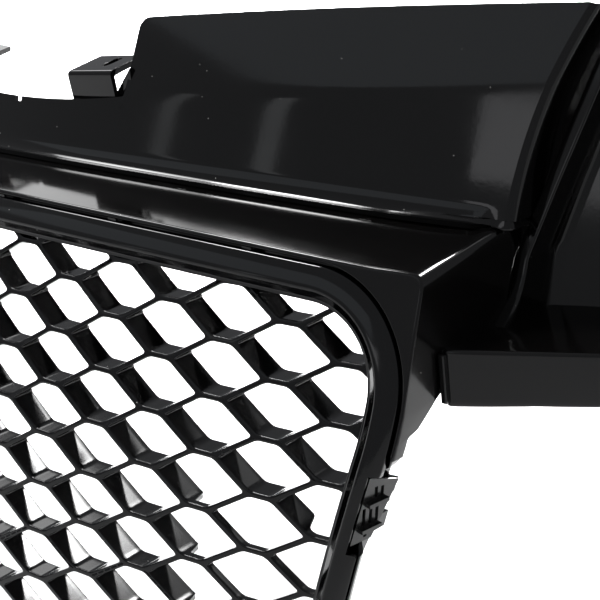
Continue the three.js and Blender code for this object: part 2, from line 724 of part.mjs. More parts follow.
const beamY = (x) => BEAM_Y + BEAM_SWEEP * (x - BEAM_X) + BEAM_BEND * (x - BEAM_X) ** 2;
const beamTopZ = (x) => BEAM_TOP + BEAM_RISE * (x - BEAM_X);
const beamHeight = (x) => lerp(BEAM_H, BEAM_H_OUTER, clamp01((x - BEAM_X) / (WING_OUT - BEAM_X)));
const stripX = (z) => STRIP_X + STRIP_SLOPE * Math.max(z - 10, 0);
const stripY = (z) => STRIP_Y + STRIP_LEAN * z;
const recessY = (x, z) => RECESS_Y + RECESS_LEAN * z + RECESS_SWEEP * (x - RECESS_X);

function wingTopZ(x) {
  const i = Math.min(WING_TOP.findIndex(([mark]) => mark >= x), WING_TOP.length - 1);
  if (i < 1) return WING_TOP[0][1];
  const [a, b] = [WING_TOP[i - 1], WING_TOP[i]];
  return lerp(a[1], b[1], (x - a[0]) / (b[0] - a[0]));
}

// Lines across the wing at which its shape is set. The first few follow the box's side wall.
const wingLines = [0, 1.8, STRIP_W, 304, 327, 352, 380, 410, 440, WING_OUT];
const hugging = (i) => i < 3;
const lineX = (i, y, z) => (hugging(i) ? wallX(y, z) + WING_GAP + wingLines[i] : wingLines[i]);

function wing() {
  const all = range(wingLines.length);
  const grid = (rows, lines, at) => rows.map((row) => lines.map((line) => at(line, row)));
  const base = (i) => {
    const x = lineX(i, beamY(BEAM_X), BEAM_TOP);
    const blend = [-4, -1.2][i] ?? 0;
    return { x, top: beamTopZ(x), low: beamTopZ(x) - beamHeight(x), front: beamY(x) + blend };
  };
  const face = grid([0, 0.1, 0.55, 1], all, (i, t) => {
    const { top, low, front } = base(i);
    const y = front + [1.2, 0, 0, 1.4][[0, 0.1, 0.55, 1].indexOf(t)];
    const z = lerp(low, top, t);
    return [lineX(i, y, z), y, z];
  });
  const under = grid([0, 1], all, (i, t) => {
    const { low, front } = base(i);
    const y = front + 1.2 + 10 * t;
    return [lineX(i, y, low), y, low];
  });
  const rearAt = (i, x, z) => (hugging(i) ? stripY(z) : recessY(x, z));
  const shelf = grid([0, 0.25, 0.5, 0.75, 1], all, (i, t) => {
    const { x, top, front } = base(i);
    const y = lerp(front + 1.4, rearAt(i, x, top) + 1.2, t);
    return [hugging(i) && y > 66 ? stripX(0) + wingLines[i] : lineX(i, y, top), y, top];
  });
  const strip = grid([0, 0.06, 0.3, 0.6, 1], [0, STRIP_W / 2, STRIP_W], (across, t) => {
    const z = lerp(BEAM_TOP - 1, WING_TOP[0][1], t);
    return [stripX(z) + across, stripY(z) + (t ? 0 : -2.4), z];
  });
  const side = grid([0, 0.3, 0.6, 1], [0, 1], (back, t) => {
    const z = lerp(BEAM_TOP - 1, WING_TOP[0][1], t);
    const x = stripX(z) + STRIP_W;
    return [x, back ? recessY(x, z) + 1.5 : stripY(z) + 0.1, z];
  });
  const rear = grid([0, 0.25, 0.5, 0.75, 1], [0, ...all.slice(3)], (i, t) => {
    const x = i ? wingLines[i] : stripX(lerp(0, 100, t)) + STRIP_W - 2;
    const z = lerp(i ? beamTopZ(x) - 1.5 : BEAM_TOP - 1, wingTopZ(x), t);
    return [x, recessY(x, z), z];
  });
  const thin = WING_T;
  const skin = join(
    sheet(face, [0, thin, 0]), sheet(under, [0, 0, thin]), sheet(shelf, [0, 0, -thin]),
    sheet(strip, [0, thin, 0]), sheet(side, [-thin, 0, 0]), sheet(rear, [0, thin, 0]),
    wingFlange(),
  );
  return cut(skin, ...wingHoles().slice(0, 2));
}

// Flange along the box's side wall, behind the beam and under the shelf, held by the wing screws.
function wingFlange() {
  const outline = [[27, -36], [27, -14], [64, -14], [58, -24], [38, -36]];
  const near = outline.map(([y, z]) => [wallX(y, z) + WING_GAP, y, z]);
  const far = near.map(([x, y, z]) => [x + WING_T, y, z]);
  return sweep([near, far], false);
}

const wingScrewPlaces = [[31, -28], [48, -18.5]];
const WING_SCREW_GRIP = 6;

function wingHoles() {
  return [1, -1].flatMap((side) => wingScrewPlaces.map(([y, z]) => {
    const hole = new THREE.CylinderGeometry(SCREW.holeR, SCREW.holeR, 16, 6);
    return hole.rotateZ(Math.PI / 2).translate(side * wallX(y, z), y, z);
  }));
}

function wingScrews() {
  return [['right', 1], ['left', -1]].flatMap(([name, side]) => wingScrewPlaces.map(([y, z], i) => {
    const mesh = new THREE.Mesh(screwGeometry(WING_SCREW_GRIP), zinc());
    mesh.name = `wing_screw_${name}_${i + 1}`;
    mesh.rotation.z = side * Math.PI / 2;
    mesh.position.set(side * (wallX(y, z) - WALL - 2 * GAP), y, z);
    return mesh;
  }));
}

// ---------- side clips ----------

// A slanted plate in the window of the trim ring's edge, widest at the top, with two fins and slots.
function sideClip() {
  const { top, bottom, n, nTop, nLow, yTop, yLow } = CLIP;
  const section = (z, slope, nRear, yRear) => {
    const run = Math.hypot(1, SIDE_TAPER);
    const at = (out, y) => {
      const pz = z - slope * Math.max(y + 4, 0);
      return bent(openingSideX(pz) + out * run, y, pz);
    };
    return [at(n, -4.6), at(nRear, yRear), at(nRear - 2, yRear), at(n + 0.4, 3), at(n, -3.4)];
  };
  const plate = sweep([section(top, 0.34, nTop, yTop), section(bottom, 0, nLow, yLow)], false);
  const foot = (z0, z1) => {
    const profile = [[10.4, 5], [12, 5], [13, 14.8], [5, 14.8], [5, 13.4], [10.4, 13.4]];
    const run = Math.hypot(1, SIDE_TAPER);
    const at = (z) => profile.map(([out, y]) => bent(openingSideX(z) + out * run, y, z));
    return sweep([at(z0), at(z1)], false);
  };
  const finAt = (z, length) => {
    const x = openingSideX(z) + 12.2;
    const bar = box(0, 3.2, -length / 2, length / 2, -0.8, 0.8);
    return bar.rotateZ(-0.2).translate(x, frontY(x, z) + 2.2, z);
  };
  const slotAt = (along, z, h) => {
    const x = openingSideX(z) + 12;
    const y = frontY(x, z) + along;
    return box(x - 6, x + 6, y - 0.8, y + 0.8, z - h / 2, z + h / 2);
  };
  const middle = [-1.6, 1.8, 5].map((along) => slotAt(along, -76.6, 7.4));
  const slots = [...middle, slotAt(1.2, -67, 4.4), slotAt(4.6, -67.6, 4.4), slotAt(1.8, -84.6, 2.6)];
  const additions = [foot(-66, -72), foot(-80, -86.5), finAt(-71, 10.5), finAt(-81.6, 10.5)];
  return join(cut(plate, ...slots), ...additions);
}

// ---------- assembly ----------

function part(name, geometry, material) {
  const mesh = new THREE.Mesh(positionsOnly(geometry), material);
  mesh.name = name;
  return mesh;
}

const rightWing = wing();
const clip = sideClip();
const grille = new THREE.Group();
grille.add(
  part('honeycomb_insert', symmetric(honeycombInsert()), gloss()),
  part('trim_ring', symmetric(trimRing()), gloss()),
  part('carrier_frame', symmetric(carrierFrame()), gloss()),
  part('upper_panel', symmetric(upperPanel()), gloss()),
  part('wing_right', rightWing, gloss()),
  part('wing_left', mirrored(rightWing), gloss()),
  part('clip_right', clip, satin()),
  part('clip_left', mirrored(clip), satin()),
  ...insertScrews(),
  ...panelScrews(),
  ...wingScrews(),
);

// The origin is on the centre plane, midway between front and back, level with the lowest edge.
const extent = new THREE.Box3().setFromObject(grille, true);
grille.position.set(0, -(extent.min.y + extent.max.y) / 2, -extent.min.z);
const model = new THREE.Group();
model.add(grille);

export default model;
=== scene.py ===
"""Looks for the front grille: smooth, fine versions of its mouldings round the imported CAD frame."""

import json
import math

import bmesh
import bpy
import numpy as np
from mathutils import Matrix, Vector


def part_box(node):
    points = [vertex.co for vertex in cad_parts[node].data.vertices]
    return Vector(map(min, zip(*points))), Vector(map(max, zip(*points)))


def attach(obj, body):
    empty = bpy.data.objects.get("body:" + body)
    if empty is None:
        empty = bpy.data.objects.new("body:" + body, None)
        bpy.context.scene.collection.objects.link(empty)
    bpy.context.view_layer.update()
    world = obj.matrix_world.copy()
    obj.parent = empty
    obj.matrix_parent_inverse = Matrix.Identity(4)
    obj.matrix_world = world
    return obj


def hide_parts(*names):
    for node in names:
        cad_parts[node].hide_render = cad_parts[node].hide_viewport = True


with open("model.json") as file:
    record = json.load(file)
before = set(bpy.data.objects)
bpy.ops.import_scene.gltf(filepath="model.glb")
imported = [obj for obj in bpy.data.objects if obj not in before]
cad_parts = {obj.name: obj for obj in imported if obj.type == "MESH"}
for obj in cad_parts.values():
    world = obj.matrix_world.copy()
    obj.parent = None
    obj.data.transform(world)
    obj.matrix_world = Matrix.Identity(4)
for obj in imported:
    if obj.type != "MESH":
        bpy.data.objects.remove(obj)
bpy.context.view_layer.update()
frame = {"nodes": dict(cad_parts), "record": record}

# ---------- dimensions of the part, in millimetres, the same as in the CAD ----------

LEAN, SIDE_CURVE, PLAN_CURVE, PLAN_TWIST = 0.429, 0.001, 0.00032, 5e-7
OPENING_TOP, OPENING_BOTTOM, CROWN = 4.2, -230, 1e-4
CORNER_R, CORNER_X, SIDE_R, SIDE_TAPER, LOWER_R, LOWER_END_X = 33.5, 217.3, 130, 0.155, 45, 180
CELL_COLUMN, CELL_ROW, CELL_EDGE, CELL_PHASE, WEB = 30, 23.1, 11, -10.55, 2.4
WEB_DEPTH, THIN_WEB_DEPTH, THIN_X, THIN_Z, THIN_BOTTOM = 11, 3.5, 176, -88, -205
SMALLEST_CELL, CELL_CORNER = 14, 1.9
RIM_IN, RIM_OUT, RING_OUT, GROOVE, LIP, LIP_FRONT, WALL = 2, 7.7, 14.3, 1.6, 1.6, -4.2, 1.8
SEAM, WING_GAP = 0.4, 0.8
BOX_X_LOW, BOX_X_TOP, BOX_LOW_Z, BOX_TOP_Z, SHELF_RISE, BOX_FLARE = 268.2, 265.5, -34, 15, 0.2, 0.145
BOX_CORNER = 45.6
CREASE_Y, CREASE_SWEEP, CREASE_Z, CREASE_DROP = 45.5, 0.00036, 30.5, 8e-5
PANEL_HALF, PANEL_T, PANEL_FOOT = 274.5, 2.3, 10
PANEL_LEAN_LOW, PANEL_LEAN_HIGH, BEND_Z, BEND_RISE, PANEL_TOP_Z = 0.3, 0.42, 62, 2.6e-4, 90.5
COVE_DEPTH, COVE_HEIGHT, SIDE_ROUND = 6.6, 7.2, 2.2
STEP_X, STEP_R, LOW_TOP_Z, LOW_TOP_RISE, NOTCH_W, NOTCH_DEPTH = 75, 6, 56, 0.001, 5, 2.5
BRACKET_X, BRACKET_W, BRACKET_H, BRACKET_RISE, BRACKET_DEPTH, BRACKET_T = 53, 31, 13, 5, 22, 2.5
BRACKET_Z, BRACKET_TILT, SLOT_W, SLOT_L = 59.5, 0.08, 5, 12
BEAM_Y, BEAM_X, BEAM_SWEEP, BEAM_BEND, BEAM_TOP, BEAM_RISE = 28.5, 268, 0.35, 0.0006, -14.5, 0.07
BEAM_H, BEAM_H_OUTER, WING_OUT, WING_T = 24, 18, 470, 2.5
STRIP_X, STRIP_SLOPE, STRIP_Y, STRIP_LEAN, STRIP_W = 272.6, 0.24, 76.3, 0.36, 6
STRIP_SIDE, STRIP_FLANGE = 10, 17
RECESS_X, RECESS_Y, RECESS_LEAN, RECESS_SWEEP = 290, 103, 0.3, 0.2
WING_TOP_LINE = [(284, 106), (306, 111), (345, 99), (400, 42), (440, 18), (WING_OUT, 8)]
TAB_X, TAB_W, TAB_H, TAB_T = 105, 30, 31, 3
TAB_FOLD = 12.9
SCREW_OUT, BOSS_R, BOSS_H = 5.4, 3.7, 4.4
TOP_SCREW_X, SIDE_SCREW_Z, LOW_SCREW_X = (62, 178), (-59, -165), (50, 140)
PANEL_SCREW_X, SEAT_HALF, SEAT_DEPTH = (120, 215), 6, 9
WINDOW_TOP, WINDOW_LOW, WINDOW_N = -59, -90.9, 10.6
HOOK_X, HOOK_HALF = (37, 111, 185), 2.5
BOX_END_Z, CORNER_SHARPNESS, SHELF_END_Z, EDGE_RADIUS = -50.5, 22, 15.94, 1.1
HUG_X = 304

mount = next(m for m in frame["record"]["mounts"] if m["name"] == "bracket_right_top")


def front_y(x, z):
    """The bent surface that the front of the part follows, as a depth."""
    return LEAN * z + SIDE_CURVE * z * z + (PLAN_CURVE - PLAN_TWIST * z) * x * x


def crease_y(x):
    return CREASE_Y + CREASE_SWEEP * x * x


def crease_z(x):
    return CREASE_Z - CREASE_DROP * x * x


def bend_z(x):
    return BEND_Z + BEND_RISE * x * x


def panel_y(x, z, softness=1.6):
    """Front of the upper panel: it leans back, and more so above a soft crease."""
    low = max(z - crease_z(x), 0)
    over = (z - bend_z(x)) / softness
    extra = softness * (over if over > 30 else math.log1p(math.exp(over)))
    return crease_y(x) + PANEL_LEAN_LOW * low + (PANEL_LEAN_HIGH - PANEL_LEAN_LOW) * extra


def strip_x(z):
    return STRIP_X + STRIP_SLOPE * max(z - 10, 0)


def strip_y(z):
    return STRIP_Y + STRIP_LEAN * z


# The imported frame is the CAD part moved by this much.
SHIFT_Y = mount["pos_m"][1] * 1000 - (panel_y(BRACKET_X, BRACKET_Z, 0.01) + 8)
SHIFT_Z = TAB_H - (OPENING_BOTTOM + CROWN * TAB_X ** 2)


def metres(points):
    """Points of the CAD part in millimetres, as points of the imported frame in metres."""
    return (np.asarray(points, float) + (0, SHIFT_Y, SHIFT_Z)) / 1000


# ---------- mesh helpers ----------


def linked(name, data):
    """A new object in the scene."""
    obj = bpy.data.objects.new(name, data)
    bpy.context.scene.collection.objects.link(obj)
    return obj


def make_object(name, points, faces, material, smooth=True):
    """A mesh object from points in the CAD part's millimetres."""
    mesh = bpy.data.meshes.new(name)
    mesh.from_pydata([tuple(p) for p in metres(points)], [], faces)
    mesh.validate()
    mesh.update()
    for polygon in mesh.polygons:
        polygon.use_smooth = smooth
    mesh.materials.append(material)
    return linked(name, mesh)


def clean(obj, distance=2e-6):
    """Merges doubled points and turns the faces out."""
    bm = bmesh.new()
    bm.from_mesh(obj.data)
    bmesh.ops.remove_doubles(bm, verts=bm.verts, dist=distance)
    bmesh.ops.dissolve_degenerate(bm, edges=bm.edges, dist=distance / 4)
    bmesh.ops.recalc_face_normals(bm, faces=bm.faces)
    bm.to_mesh(obj.data)
    bm.free()
    return obj


def weigh(obj):
    """Flat faces keep flat shading beside their rounded edges."""
    modifier = obj.modifiers.new("weighted", "WEIGHTED_NORMAL")
    modifier.keep_sharp = True
    return obj


def rim(obj, width, segments=3, angle=40):
    """Rounded edges, in millimetres."""
    modifier = obj.modifiers.new("rim", "BEVEL")
    modifier.width = width / 1000
    modifier.segments = segments
    modifier.limit_method = "ANGLE"
    modifier.angle_limit = math.radians(angle)
    modifier.harden_normals = False
    return weigh(obj)


def thicken(obj, thickness, offset):
    modifier = obj.modifiers.new("thickness", "SOLIDIFY")
    modifier.thickness = thickness / 1000
    modifier.offset = offset
    modifier.use_even_offset = False
    return obj


def grid_faces(rows, columns, close_rows=False, close_columns=False):
    """Quads of a grid of points stored row by row."""
    faces = []
    for i in range(rows if close_rows else rows - 1):
        for j in range(columns if close_columns else columns - 1):
            a, b = i * columns + j, i * columns + (j + 1) % columns
            c, d = ((i + 1) % rows) * columns + (j + 1) % columns, ((i + 1) % rows) * columns + j
            faces.append((a, b, c, d))
    return faces


def sweep(name, sections, material, closed=False):
    """A solid through closed sections. An open one gets its two ends capped."""
    rows, columns = len(sections), len(sections[0])
    faces = grid_faces(rows, columns, closed, True)
    if not closed:
        faces.append(tuple(range(columns)))
        faces.append(tuple(range((rows - 1) * columns, rows * columns)))
    points = [p for section in sections for p in section]
    return clean(make_object(name, points, faces, material))


def curve(start, corner, end, steps):
    """Points from start to end on a curve that bends towards corner."""
    return [(1 - t) ** 2 * start + 2 * t * (1 - t) * corner + t * t * end
            for t in (k / steps for k in range(steps + 1))]


def sheet_through(name, grid, material, flip=False):
    """An open surface through the rows of a grid of points."""
    faces = grid_faces(len(grid), len(grid[0]))
    faces = [face[::-1] for face in faces] if flip else faces
    return make_object(name, [p for row in grid for p in row], faces, material)


def rounded(points, radii, steps=4):
    """A closed outline with its corners rounded."""
    points = np.asarray(points, float)
    count = len(points)
    out = []
    for i in range(count):
        p, before, after = points[i], points[i - 1], points[(i + 1) % count]
        if radii[i] <= 0:
            out.append(p)
            continue
        back, ahead = before - p, after - p
        start = p + back * min(radii[i] / (np.linalg.norm(back) + 1e-9), 0.45)
        end = p + ahead * min(radii[i] / (np.linalg.norm(ahead) + 1e-9), 0.45)
        out += curve(start, p, end, steps)
    return np.array(out)


def joined(name, objects):
    """Several mesh objects as one."""
    with bpy.context.temp_override(active_object=objects[0], selected_editable_objects=objects):
        bpy.ops.object.join()
    objects[0].name = name
    return objects[0]


def mirrored_copy(obj, name):
    copy = obj.copy()
    copy.data = obj.data.copy()
    copy.name = name
    copy.data.transform(Matrix.Scale(-1, 4, (1, 0, 0)))
    copy.data.flip_normals()
    bpy.context.scene.collection.objects.link(copy)
    return copy


def finish_piece(piece, slot, *nodes):
    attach(piece, "root")
    if nodes:
        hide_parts(*nodes)


def clamp01(t):
    return min(1.0, max(0.0, t))


def mix(a, b, t):
    return a + (b - a) * t


# ---------- materials ----------


DUST = (0.6, 0.58, 0.55, 1)


def grey(value):
    return (value, value, value, 1)


class Finish:
    """A material whose shader is fed by nodes that work on the object's own coordinates."""

    def __init__(self, name):
        self.material = bpy.data.materials.new(name)
        self.material.use_nodes = True
        self.nodes = self.material.node_tree.nodes
        self.place = self.node("TexCoord", {}).outputs["Object"]

    def feed(self, node, inputs):
        """Sets each input to its value, or links it to its socket."""
        for key, value in inputs.items():
            if isinstance(value, bpy.types.NodeSocket):
                self.material.node_tree.links.new(value, node.inputs[key])
            else:
                node.inputs[key].default_value = value

    def node(self, kind, inputs, **settings):
        node = self.nodes.new(f"ShaderNode{kind}")
        for key, value in settings.items():
            setattr(node, key, value)
        self.feed(node, inputs)
        return node

    def noise(self, scale, detail, roughness):
        inputs = {"Vector": self.place, "Scale": scale, "Detail": detail, "Roughness": roughness}
        return self.node("TexNoise", inputs).outputs["Fac"]

    def ramp(self, source, *stops):
        node = self.node("ValToRGB", {"Fac": source})
        elements = node.color_ramp.elements
        for element, (position, color) in zip((elements[0], elements[1]), (stops[0], stops[-1])):
            element.position, element.color = position, color
        for position, color in stops[1:-1]:
            elements.new(position).color = color
        return node.outputs["Color"]

    def math(self, operation, first, second):
        return self.node("Math", {0: first, 1: second}, operation=operation).outputs[0]

    def bump(self, height, strength):
        inputs = {"Height": height, "Strength": strength, "Distance": 0.0001}
        return self.node("Bump", inputs).outputs["Normal"]

    def dust(self, scale, size, share):
        """Small round specks: 1 on a speck, 0 elsewhere, on a share of the cells."""
        cells = self.node("TexVoronoi", {"Vector": self.place, "Scale": scale})
        chosen = self.node("SeparateColor", {"Color": cells.outputs["Color"]})
        near = self.math("LESS_THAN", cells.outputs["Distance"], size)
        picked = self.math("LESS_THAN", chosen.outputs["Red"], share)
        return self.math("MULTIPLY", near, picked)

    def shaded(self, color, roughness, **others):
        """The finished material."""
        self.feed(self.nodes["Principled BSDF"], {"Base Color": color, "Roughness": roughness, **others})
        return self.material


def gloss_black(name, painted_warm_reflection=0.0, smoothness=0.07, dust=0.10):
    """Piano black moulded plastic: slightly uneven gloss, handling haze and fine dust. A warm tint in its
    colour is a painted reflection of a brownish room.
    """
    finish = Finish(name)
    haze, fine = finish.noise(14, 4, 0.6), finish.noise(420, 2, 0.5)
    specks = finish.dust(190, 0.045, dust)
    # The warm part of this tint is a painted reflection of a brownish room seen in the gloss; the haze
    # part is the plastic's own uneven tone.
    tint = finish.ramp(haze, (0.3, (0.0012 + painted_warm_reflection, 0.0012 + painted_warm_reflection * 0.5, 0.0014, 1)),
                       (0.7, (0.0024 + painted_warm_reflection, 0.0023 + painted_warm_reflection * 0.5, 0.0025, 1)))
    dust_and_warm_reflection = finish.node("Mix", {"Factor": specks, "A": tint, "B": DUST}, data_type="RGBA")
    gloss = finish.ramp(haze, (0.35, grey(smoothness)), (0.6, grey(smoothness + 0.035)),
                        (0.8, grey(smoothness + 0.09)))
    rough = finish.math("MAXIMUM", gloss, specks)
    return finish.shaded(dust_and_warm_reflection.outputs["Result"], rough, Normal=finish.bump(fine, 0.05), IOR=1.48)


def satin_black(name):
    """Plain moulded plastic with a fine spark-eroded grain."""
    finish = Finish(name)
    grain, patch = finish.noise(2600, 2, 0.6), finish.noise(40, 3, 0.5)
    tint = finish.ramp(patch, (0.3, grey(0.012)), (0.7, grey(0.022)))
    rough = finish.ramp(patch, (0.3, grey(0.16)), (0.7, grey(0.24)))
    return finish.shaded(tint, rough, Normal=finish.bump(grain, 0.25))


def zinc_plate(name):
    """Zinc-plated steel with faint streaks and dull patches."""
    finish = Finish(name)
    patch = finish.noise(900, 4, 0.6)
    tint = finish.ramp(patch, (0.3, (0.42, 0.42, 0.40, 1)), (0.55, (0.56, 0.57, 0.58, 1)),
                       (0.75, (0.66, 0.64, 0.56, 1)))
    rough = finish.ramp(patch, (0.3, grey(0.42)), (0.7, grey(0.22)))
    return finish.shaded(tint, rough, Metallic=1.0)


def pale_floor(name):
    finish = Finish(name)
    tint = finish.ramp(finish.noise(3, 3, 0.5), (0.3, grey(0.82)), (0.7, grey(0.86)))
    return finish.shaded(tint, 0.7)


RING_BLACK = gloss_black("ring gloss black", smoothness=0.06)
# The frame, panel and wings get a warm tint in their colour: a painted reflection of a brownish room on
# their shelves and recesses.
FRAME_BLACK = gloss_black("frame gloss black", painted_warm_reflection=0.0006)
PANEL_BLACK = gloss_black("panel gloss black", painted_warm_reflection=0.0004, smoothness=0.05, dust=0.16)
WING_BLACK = gloss_black("wing gloss black", painted_warm_reflection=0.0004)
MESH_BLACK = gloss_black("mesh gloss black", smoothness=0.10, dust=0.12)
CLIP_BLACK = satin_black("clip satin black")
ZINC = zinc_plate("zinc plate")


# ---------- stations round the opening ----------

CORNER_TOP_Z = OPENING_TOP - CROWN * CORNER_X ** 2
CORNER_Z = CORNER_TOP_Z - CORNER_R
SIDE_ANGLE = -math.atan(SIDE_TAPER)
SIDE_START_X = CORNER_X + CORNER_R - SIDE_R * (1 - math.cos(SIDE_ANGLE))
SIDE_START_Z = CORNER_Z + SIDE_R * math.sin(SIDE_ANGLE)


def opening_side_x(z):
    """Inner edge of the opening along its straight sides."""
    return SIDE_START_X - SIDE_TAPER * (SIDE_START_Z - z)


def arc_stations(cx, cz, radius, angles):
    return [(cx + radius * math.cos(a), cz + radius * math.sin(a), math.cos(a), math.sin(a))
            for a in angles]


def right_half():
    """Stations from the top centre round the right side: x, z and the outward normal."""
    crown_angle = math.atan2(1, 2 * CROWN * CORNER_X)
    out = []
    for x in np.linspace(0, CORNER_X, 56)[:-1]:
        out.append((x, OPENING_TOP - CROWN * x * x, 2 * CROWN * x, 1.0))
    centre = math.radians(BOX_CORNER)
    fine = centre + np.radians(np.linspace(-5, 5, 41))
    angles = np.unique(np.r_[np.linspace(0, crown_angle, 46), fine])[::-1]
    out += arc_stations(CORNER_X, CORNER_Z, CORNER_R, angles)
    out += arc_stations(CORNER_X + CORNER_R - SIDE_R, CORNER_Z, SIDE_R, np.linspace(0, SIDE_ANGLE, 16)[1:])
    lower_z = OPENING_BOTTOM + CROWN * LOWER_END_X ** 2 + LOWER_R
    side_end = lower_z + LOWER_R * math.sin(SIDE_ANGLE)
    nx, nz = math.cos(SIDE_ANGLE), math.sin(SIDE_ANGLE)
    levels = [np.linspace(SIDE_START_Z - 1, side_end + 1, 44)]
    levels += [np.array([edge - 0.1, edge + 0.1]) + 12 * SIDE_TAPER for edge in (WINDOW_TOP, WINDOW_LOW)]
    for z in np.unique(np.concatenate(levels))[::-1]:
        out.append((opening_side_x(z), z, nx, nz))
    lower_x = opening_side_x(side_end) - LOWER_R * nx
    last = math.atan2(-1, 2 * CROWN * lower_x)
    out += arc_stations(lower_x, lower_z, LOWER_R, np.linspace(SIDE_ANGLE, last, 30))
    start = lower_x + LOWER_R * math.cos(last)
    for x in np.linspace(start, 0, 50)[1:]:
        out.append((x, OPENING_BOTTOM + CROWN * x * x, 2 * CROWN * x, -1.0))
    return [(x, z, a / math.hypot(a, b), b / math.hypot(a, b)) for x, z, a, b in out]


RIGHT = right_half()
STATIONS = RIGHT + [(-x, z, -nx, nz) for x, z, nx, nz in RIGHT[-2:0:-1]]


def on_station(station, point):
    """A point given by its distance out from the opening and its depth behind the front surface."""
    x, z, nx, nz = station
    n, y = point
    px, pz = x + n * nx, z + n * nz
    return (px, front_y(px, pz) + y, pz)


# ---------- trim ring ----------


def trim_ring():
    """The bevelled inner side, a crest and a broad falling face, with a window for each side clip."""
    profile = [(0, -0.3), (0, -1.6), (1.4, -2), (5.9, -6.2), (7.2, -6.4), (11.5, -5.6), (14.3, -4),
               (14.3, -1.4), (12.7, -1.4), (12.7, -3.4), (7, -4.6), (2.6, -0.3)]
    radii = [0.15, 0.6, 0.6, 1.1, 1.2, 2.2, 0.7, 0.2, 0.2, 0.4, 0.5, 0.3]
    base = rounded(profile, radii)
    front_line = [(0, -1.6), (1.4, -2), (5.9, -6.2), (7.2, -6.4), (11.5, -5.6), (14.3, -4)]
    face_at = np.interp(WINDOW_N, [p[0] for p in front_line], [p[1] for p in front_line])
    sections = []
    for station in STATIONS:
        z = station[1] - 12 * SIDE_TAPER
        in_window = WINDOW_LOW < z < WINDOW_TOP and abs(station[0]) > 200
        section = []
        for n, y in base:
            if in_window and n > WINDOW_N:
                depth = clamp01((y + 4.6) / 3.4) if n > 12.6 or y > -4.4 else 0
                n, y = WINDOW_N, face_at + 1.2 * depth
            section.append(on_station(station, (n, y)))
        sections.append(section)
    ring = sweep("trim_ring_shell", sections, RING_BLACK, closed=True)
    hooks = []
    for hx in HOOK_X:
        for x in (hx, -hx):
            z = OPENING_TOP - CROWN * x * x + RING_OUT
            y = front_y(x, z)
            xs = (x - HOOK_HALF, x + HOOK_HALF)
            hooks.append(block("hook", xs, (y - 3, y - 1.6), (z - 1, z + 1.2), RING_BLACK))
    ring = joined("trim_ring_shell", [ring, *hooks])
    return weigh(ring)


def block(name, xs, ys, zs, material):
    points = [(x, y, z) for x in xs for y in ys for z in zs]
    faces = [(0, 1, 3, 2), (4, 6, 7, 5), (0, 4, 5, 1), (2, 3, 7, 6), (0, 2, 6, 4), (1, 5, 7, 3)]
    return make_object(name, points, faces, material, smooth=False)


# ---------- carrier frame ----------

CARRIER_LEVELS = [
    (-49.4, "full"), (-53.9, "sunk"), (-58, "bare"), (-86.4, "bare"), (-88.2, "slim"), (-107, "low"),
]


def carrier_profile(kind):
    """Section of the frame: a lip, a groove floor, a wall round the insert and a flange behind it."""
    back = (THIN_WEB_DEPTH if kind == "low" else WEB_DEPTH) + 0.3
    flange = [(9.8, back + 1.7), (3.2, back + 1.7), (3.2, back), (8, back)]
    n0, n1 = RING_OUT + GROOVE, RING_OUT + GROOVE + LIP
    fronts = {
        "full": ([(n0, LIP_FRONT + 0.1), (n1 - 0.3, LIP_FRONT + 0.1), (n1 - 0.3, 4.5), (9.8, 4.5)],
                 [(8, 2.7), (n0, 2.7)]),
        "sunk": ([(14.8, -0.7), (15.4, -0.2), (15.4, 4.5), (9.8, 4.5)], [(8, 2.7), (14.8, 2.7)]),
        "bare": ([(9.9, 2.2), (10.2, 2.4), (10.2, 4.5), (9.8, 4.6)], [(8, 2.2), (9.6, 2.2)]),
        "slim": ([(14.8, -3.6), (15.4, -3), (14.6, 0.4), (9.8, 4.2)], [(8, 0.9), (14.8, -0.9)]),
    }
    front, floor = fronts["slim" if kind == "low" else kind]
    return np.array([*front, *flange, *floor])


def carrier_section(z):
    levels = [-level for level, _ in CARRIER_LEVELS]
    profiles = [carrier_profile(kind) for _, kind in CARRIER_LEVELS]
    at = -z
    if at <= levels[0]:
        return profiles[0]
    if at >= levels[-1]:
        return profiles[-1]
    i = next(k for k in range(len(levels) - 1) if levels[k + 1] >= at)
    t = (at - levels[i]) / (levels[i + 1] - levels[i])
    return profiles[i] * (1 - t) + profiles[i + 1] * t


def channel():
    radii = [0.5, 0.5, 0.5, 0.4, 0.3, 0.3, 0.3, 0.3, 0.3, 0.3]
    sections = []
    for station in STATIONS:
        section = rounded(carrier_section(station[1]), radii, 3)
        sections.append([on_station(station, p) for p in section])
    return sweep("carrier_channel", sections, FRAME_BLACK, closed=True)


def box_side_x(z):
    t = clamp01((z - BOX_LOW_Z) / (BOX_TOP_Z - BOX_LOW_Z))
    return mix(BOX_X_LOW, BOX_X_TOP, t)


def wall_x(y, z):
    """Outer face of the box's side wall, which flares towards the back."""
    x = box_side_x(z)
    return x + BOX_FLARE * (y - front_y(x, z) - LIP_FRONT)


def box_outline(station):
    """The box's front edge for a station: straight sides and nearly square upper corners."""
    x, z, nx, nz = station
    out = RING_OUT + GROOVE + LIP
    px, pz = x + out * nx, z + out * nz
    if abs(x) <= CORNER_X or pz < CORNER_Z:
        return px, pz
    angle = math.atan2(nz, abs(nx))
    edge_z = max(OPENING_TOP + out - CROWN * min(abs(px), 262) ** 2, SHELF_END_Z)
    side_z = CORNER_Z + 50 * math.tan(min(angle, 1.2))
    to_top = (edge_z - CORNER_Z) / max(math.sin(angle), 1e-4)
    to_side = (box_side_x(side_z) - CORNER_X) / max(math.cos(angle), 1e-4)
    reach = (to_top ** -CORNER_SHARPNESS + to_side ** -CORNER_SHARPNESS) ** (-1 / CORNER_SHARPNESS)
    return math.copysign(CORNER_X + reach * math.cos(angle), x), CORNER_Z + reach * math.sin(angle)


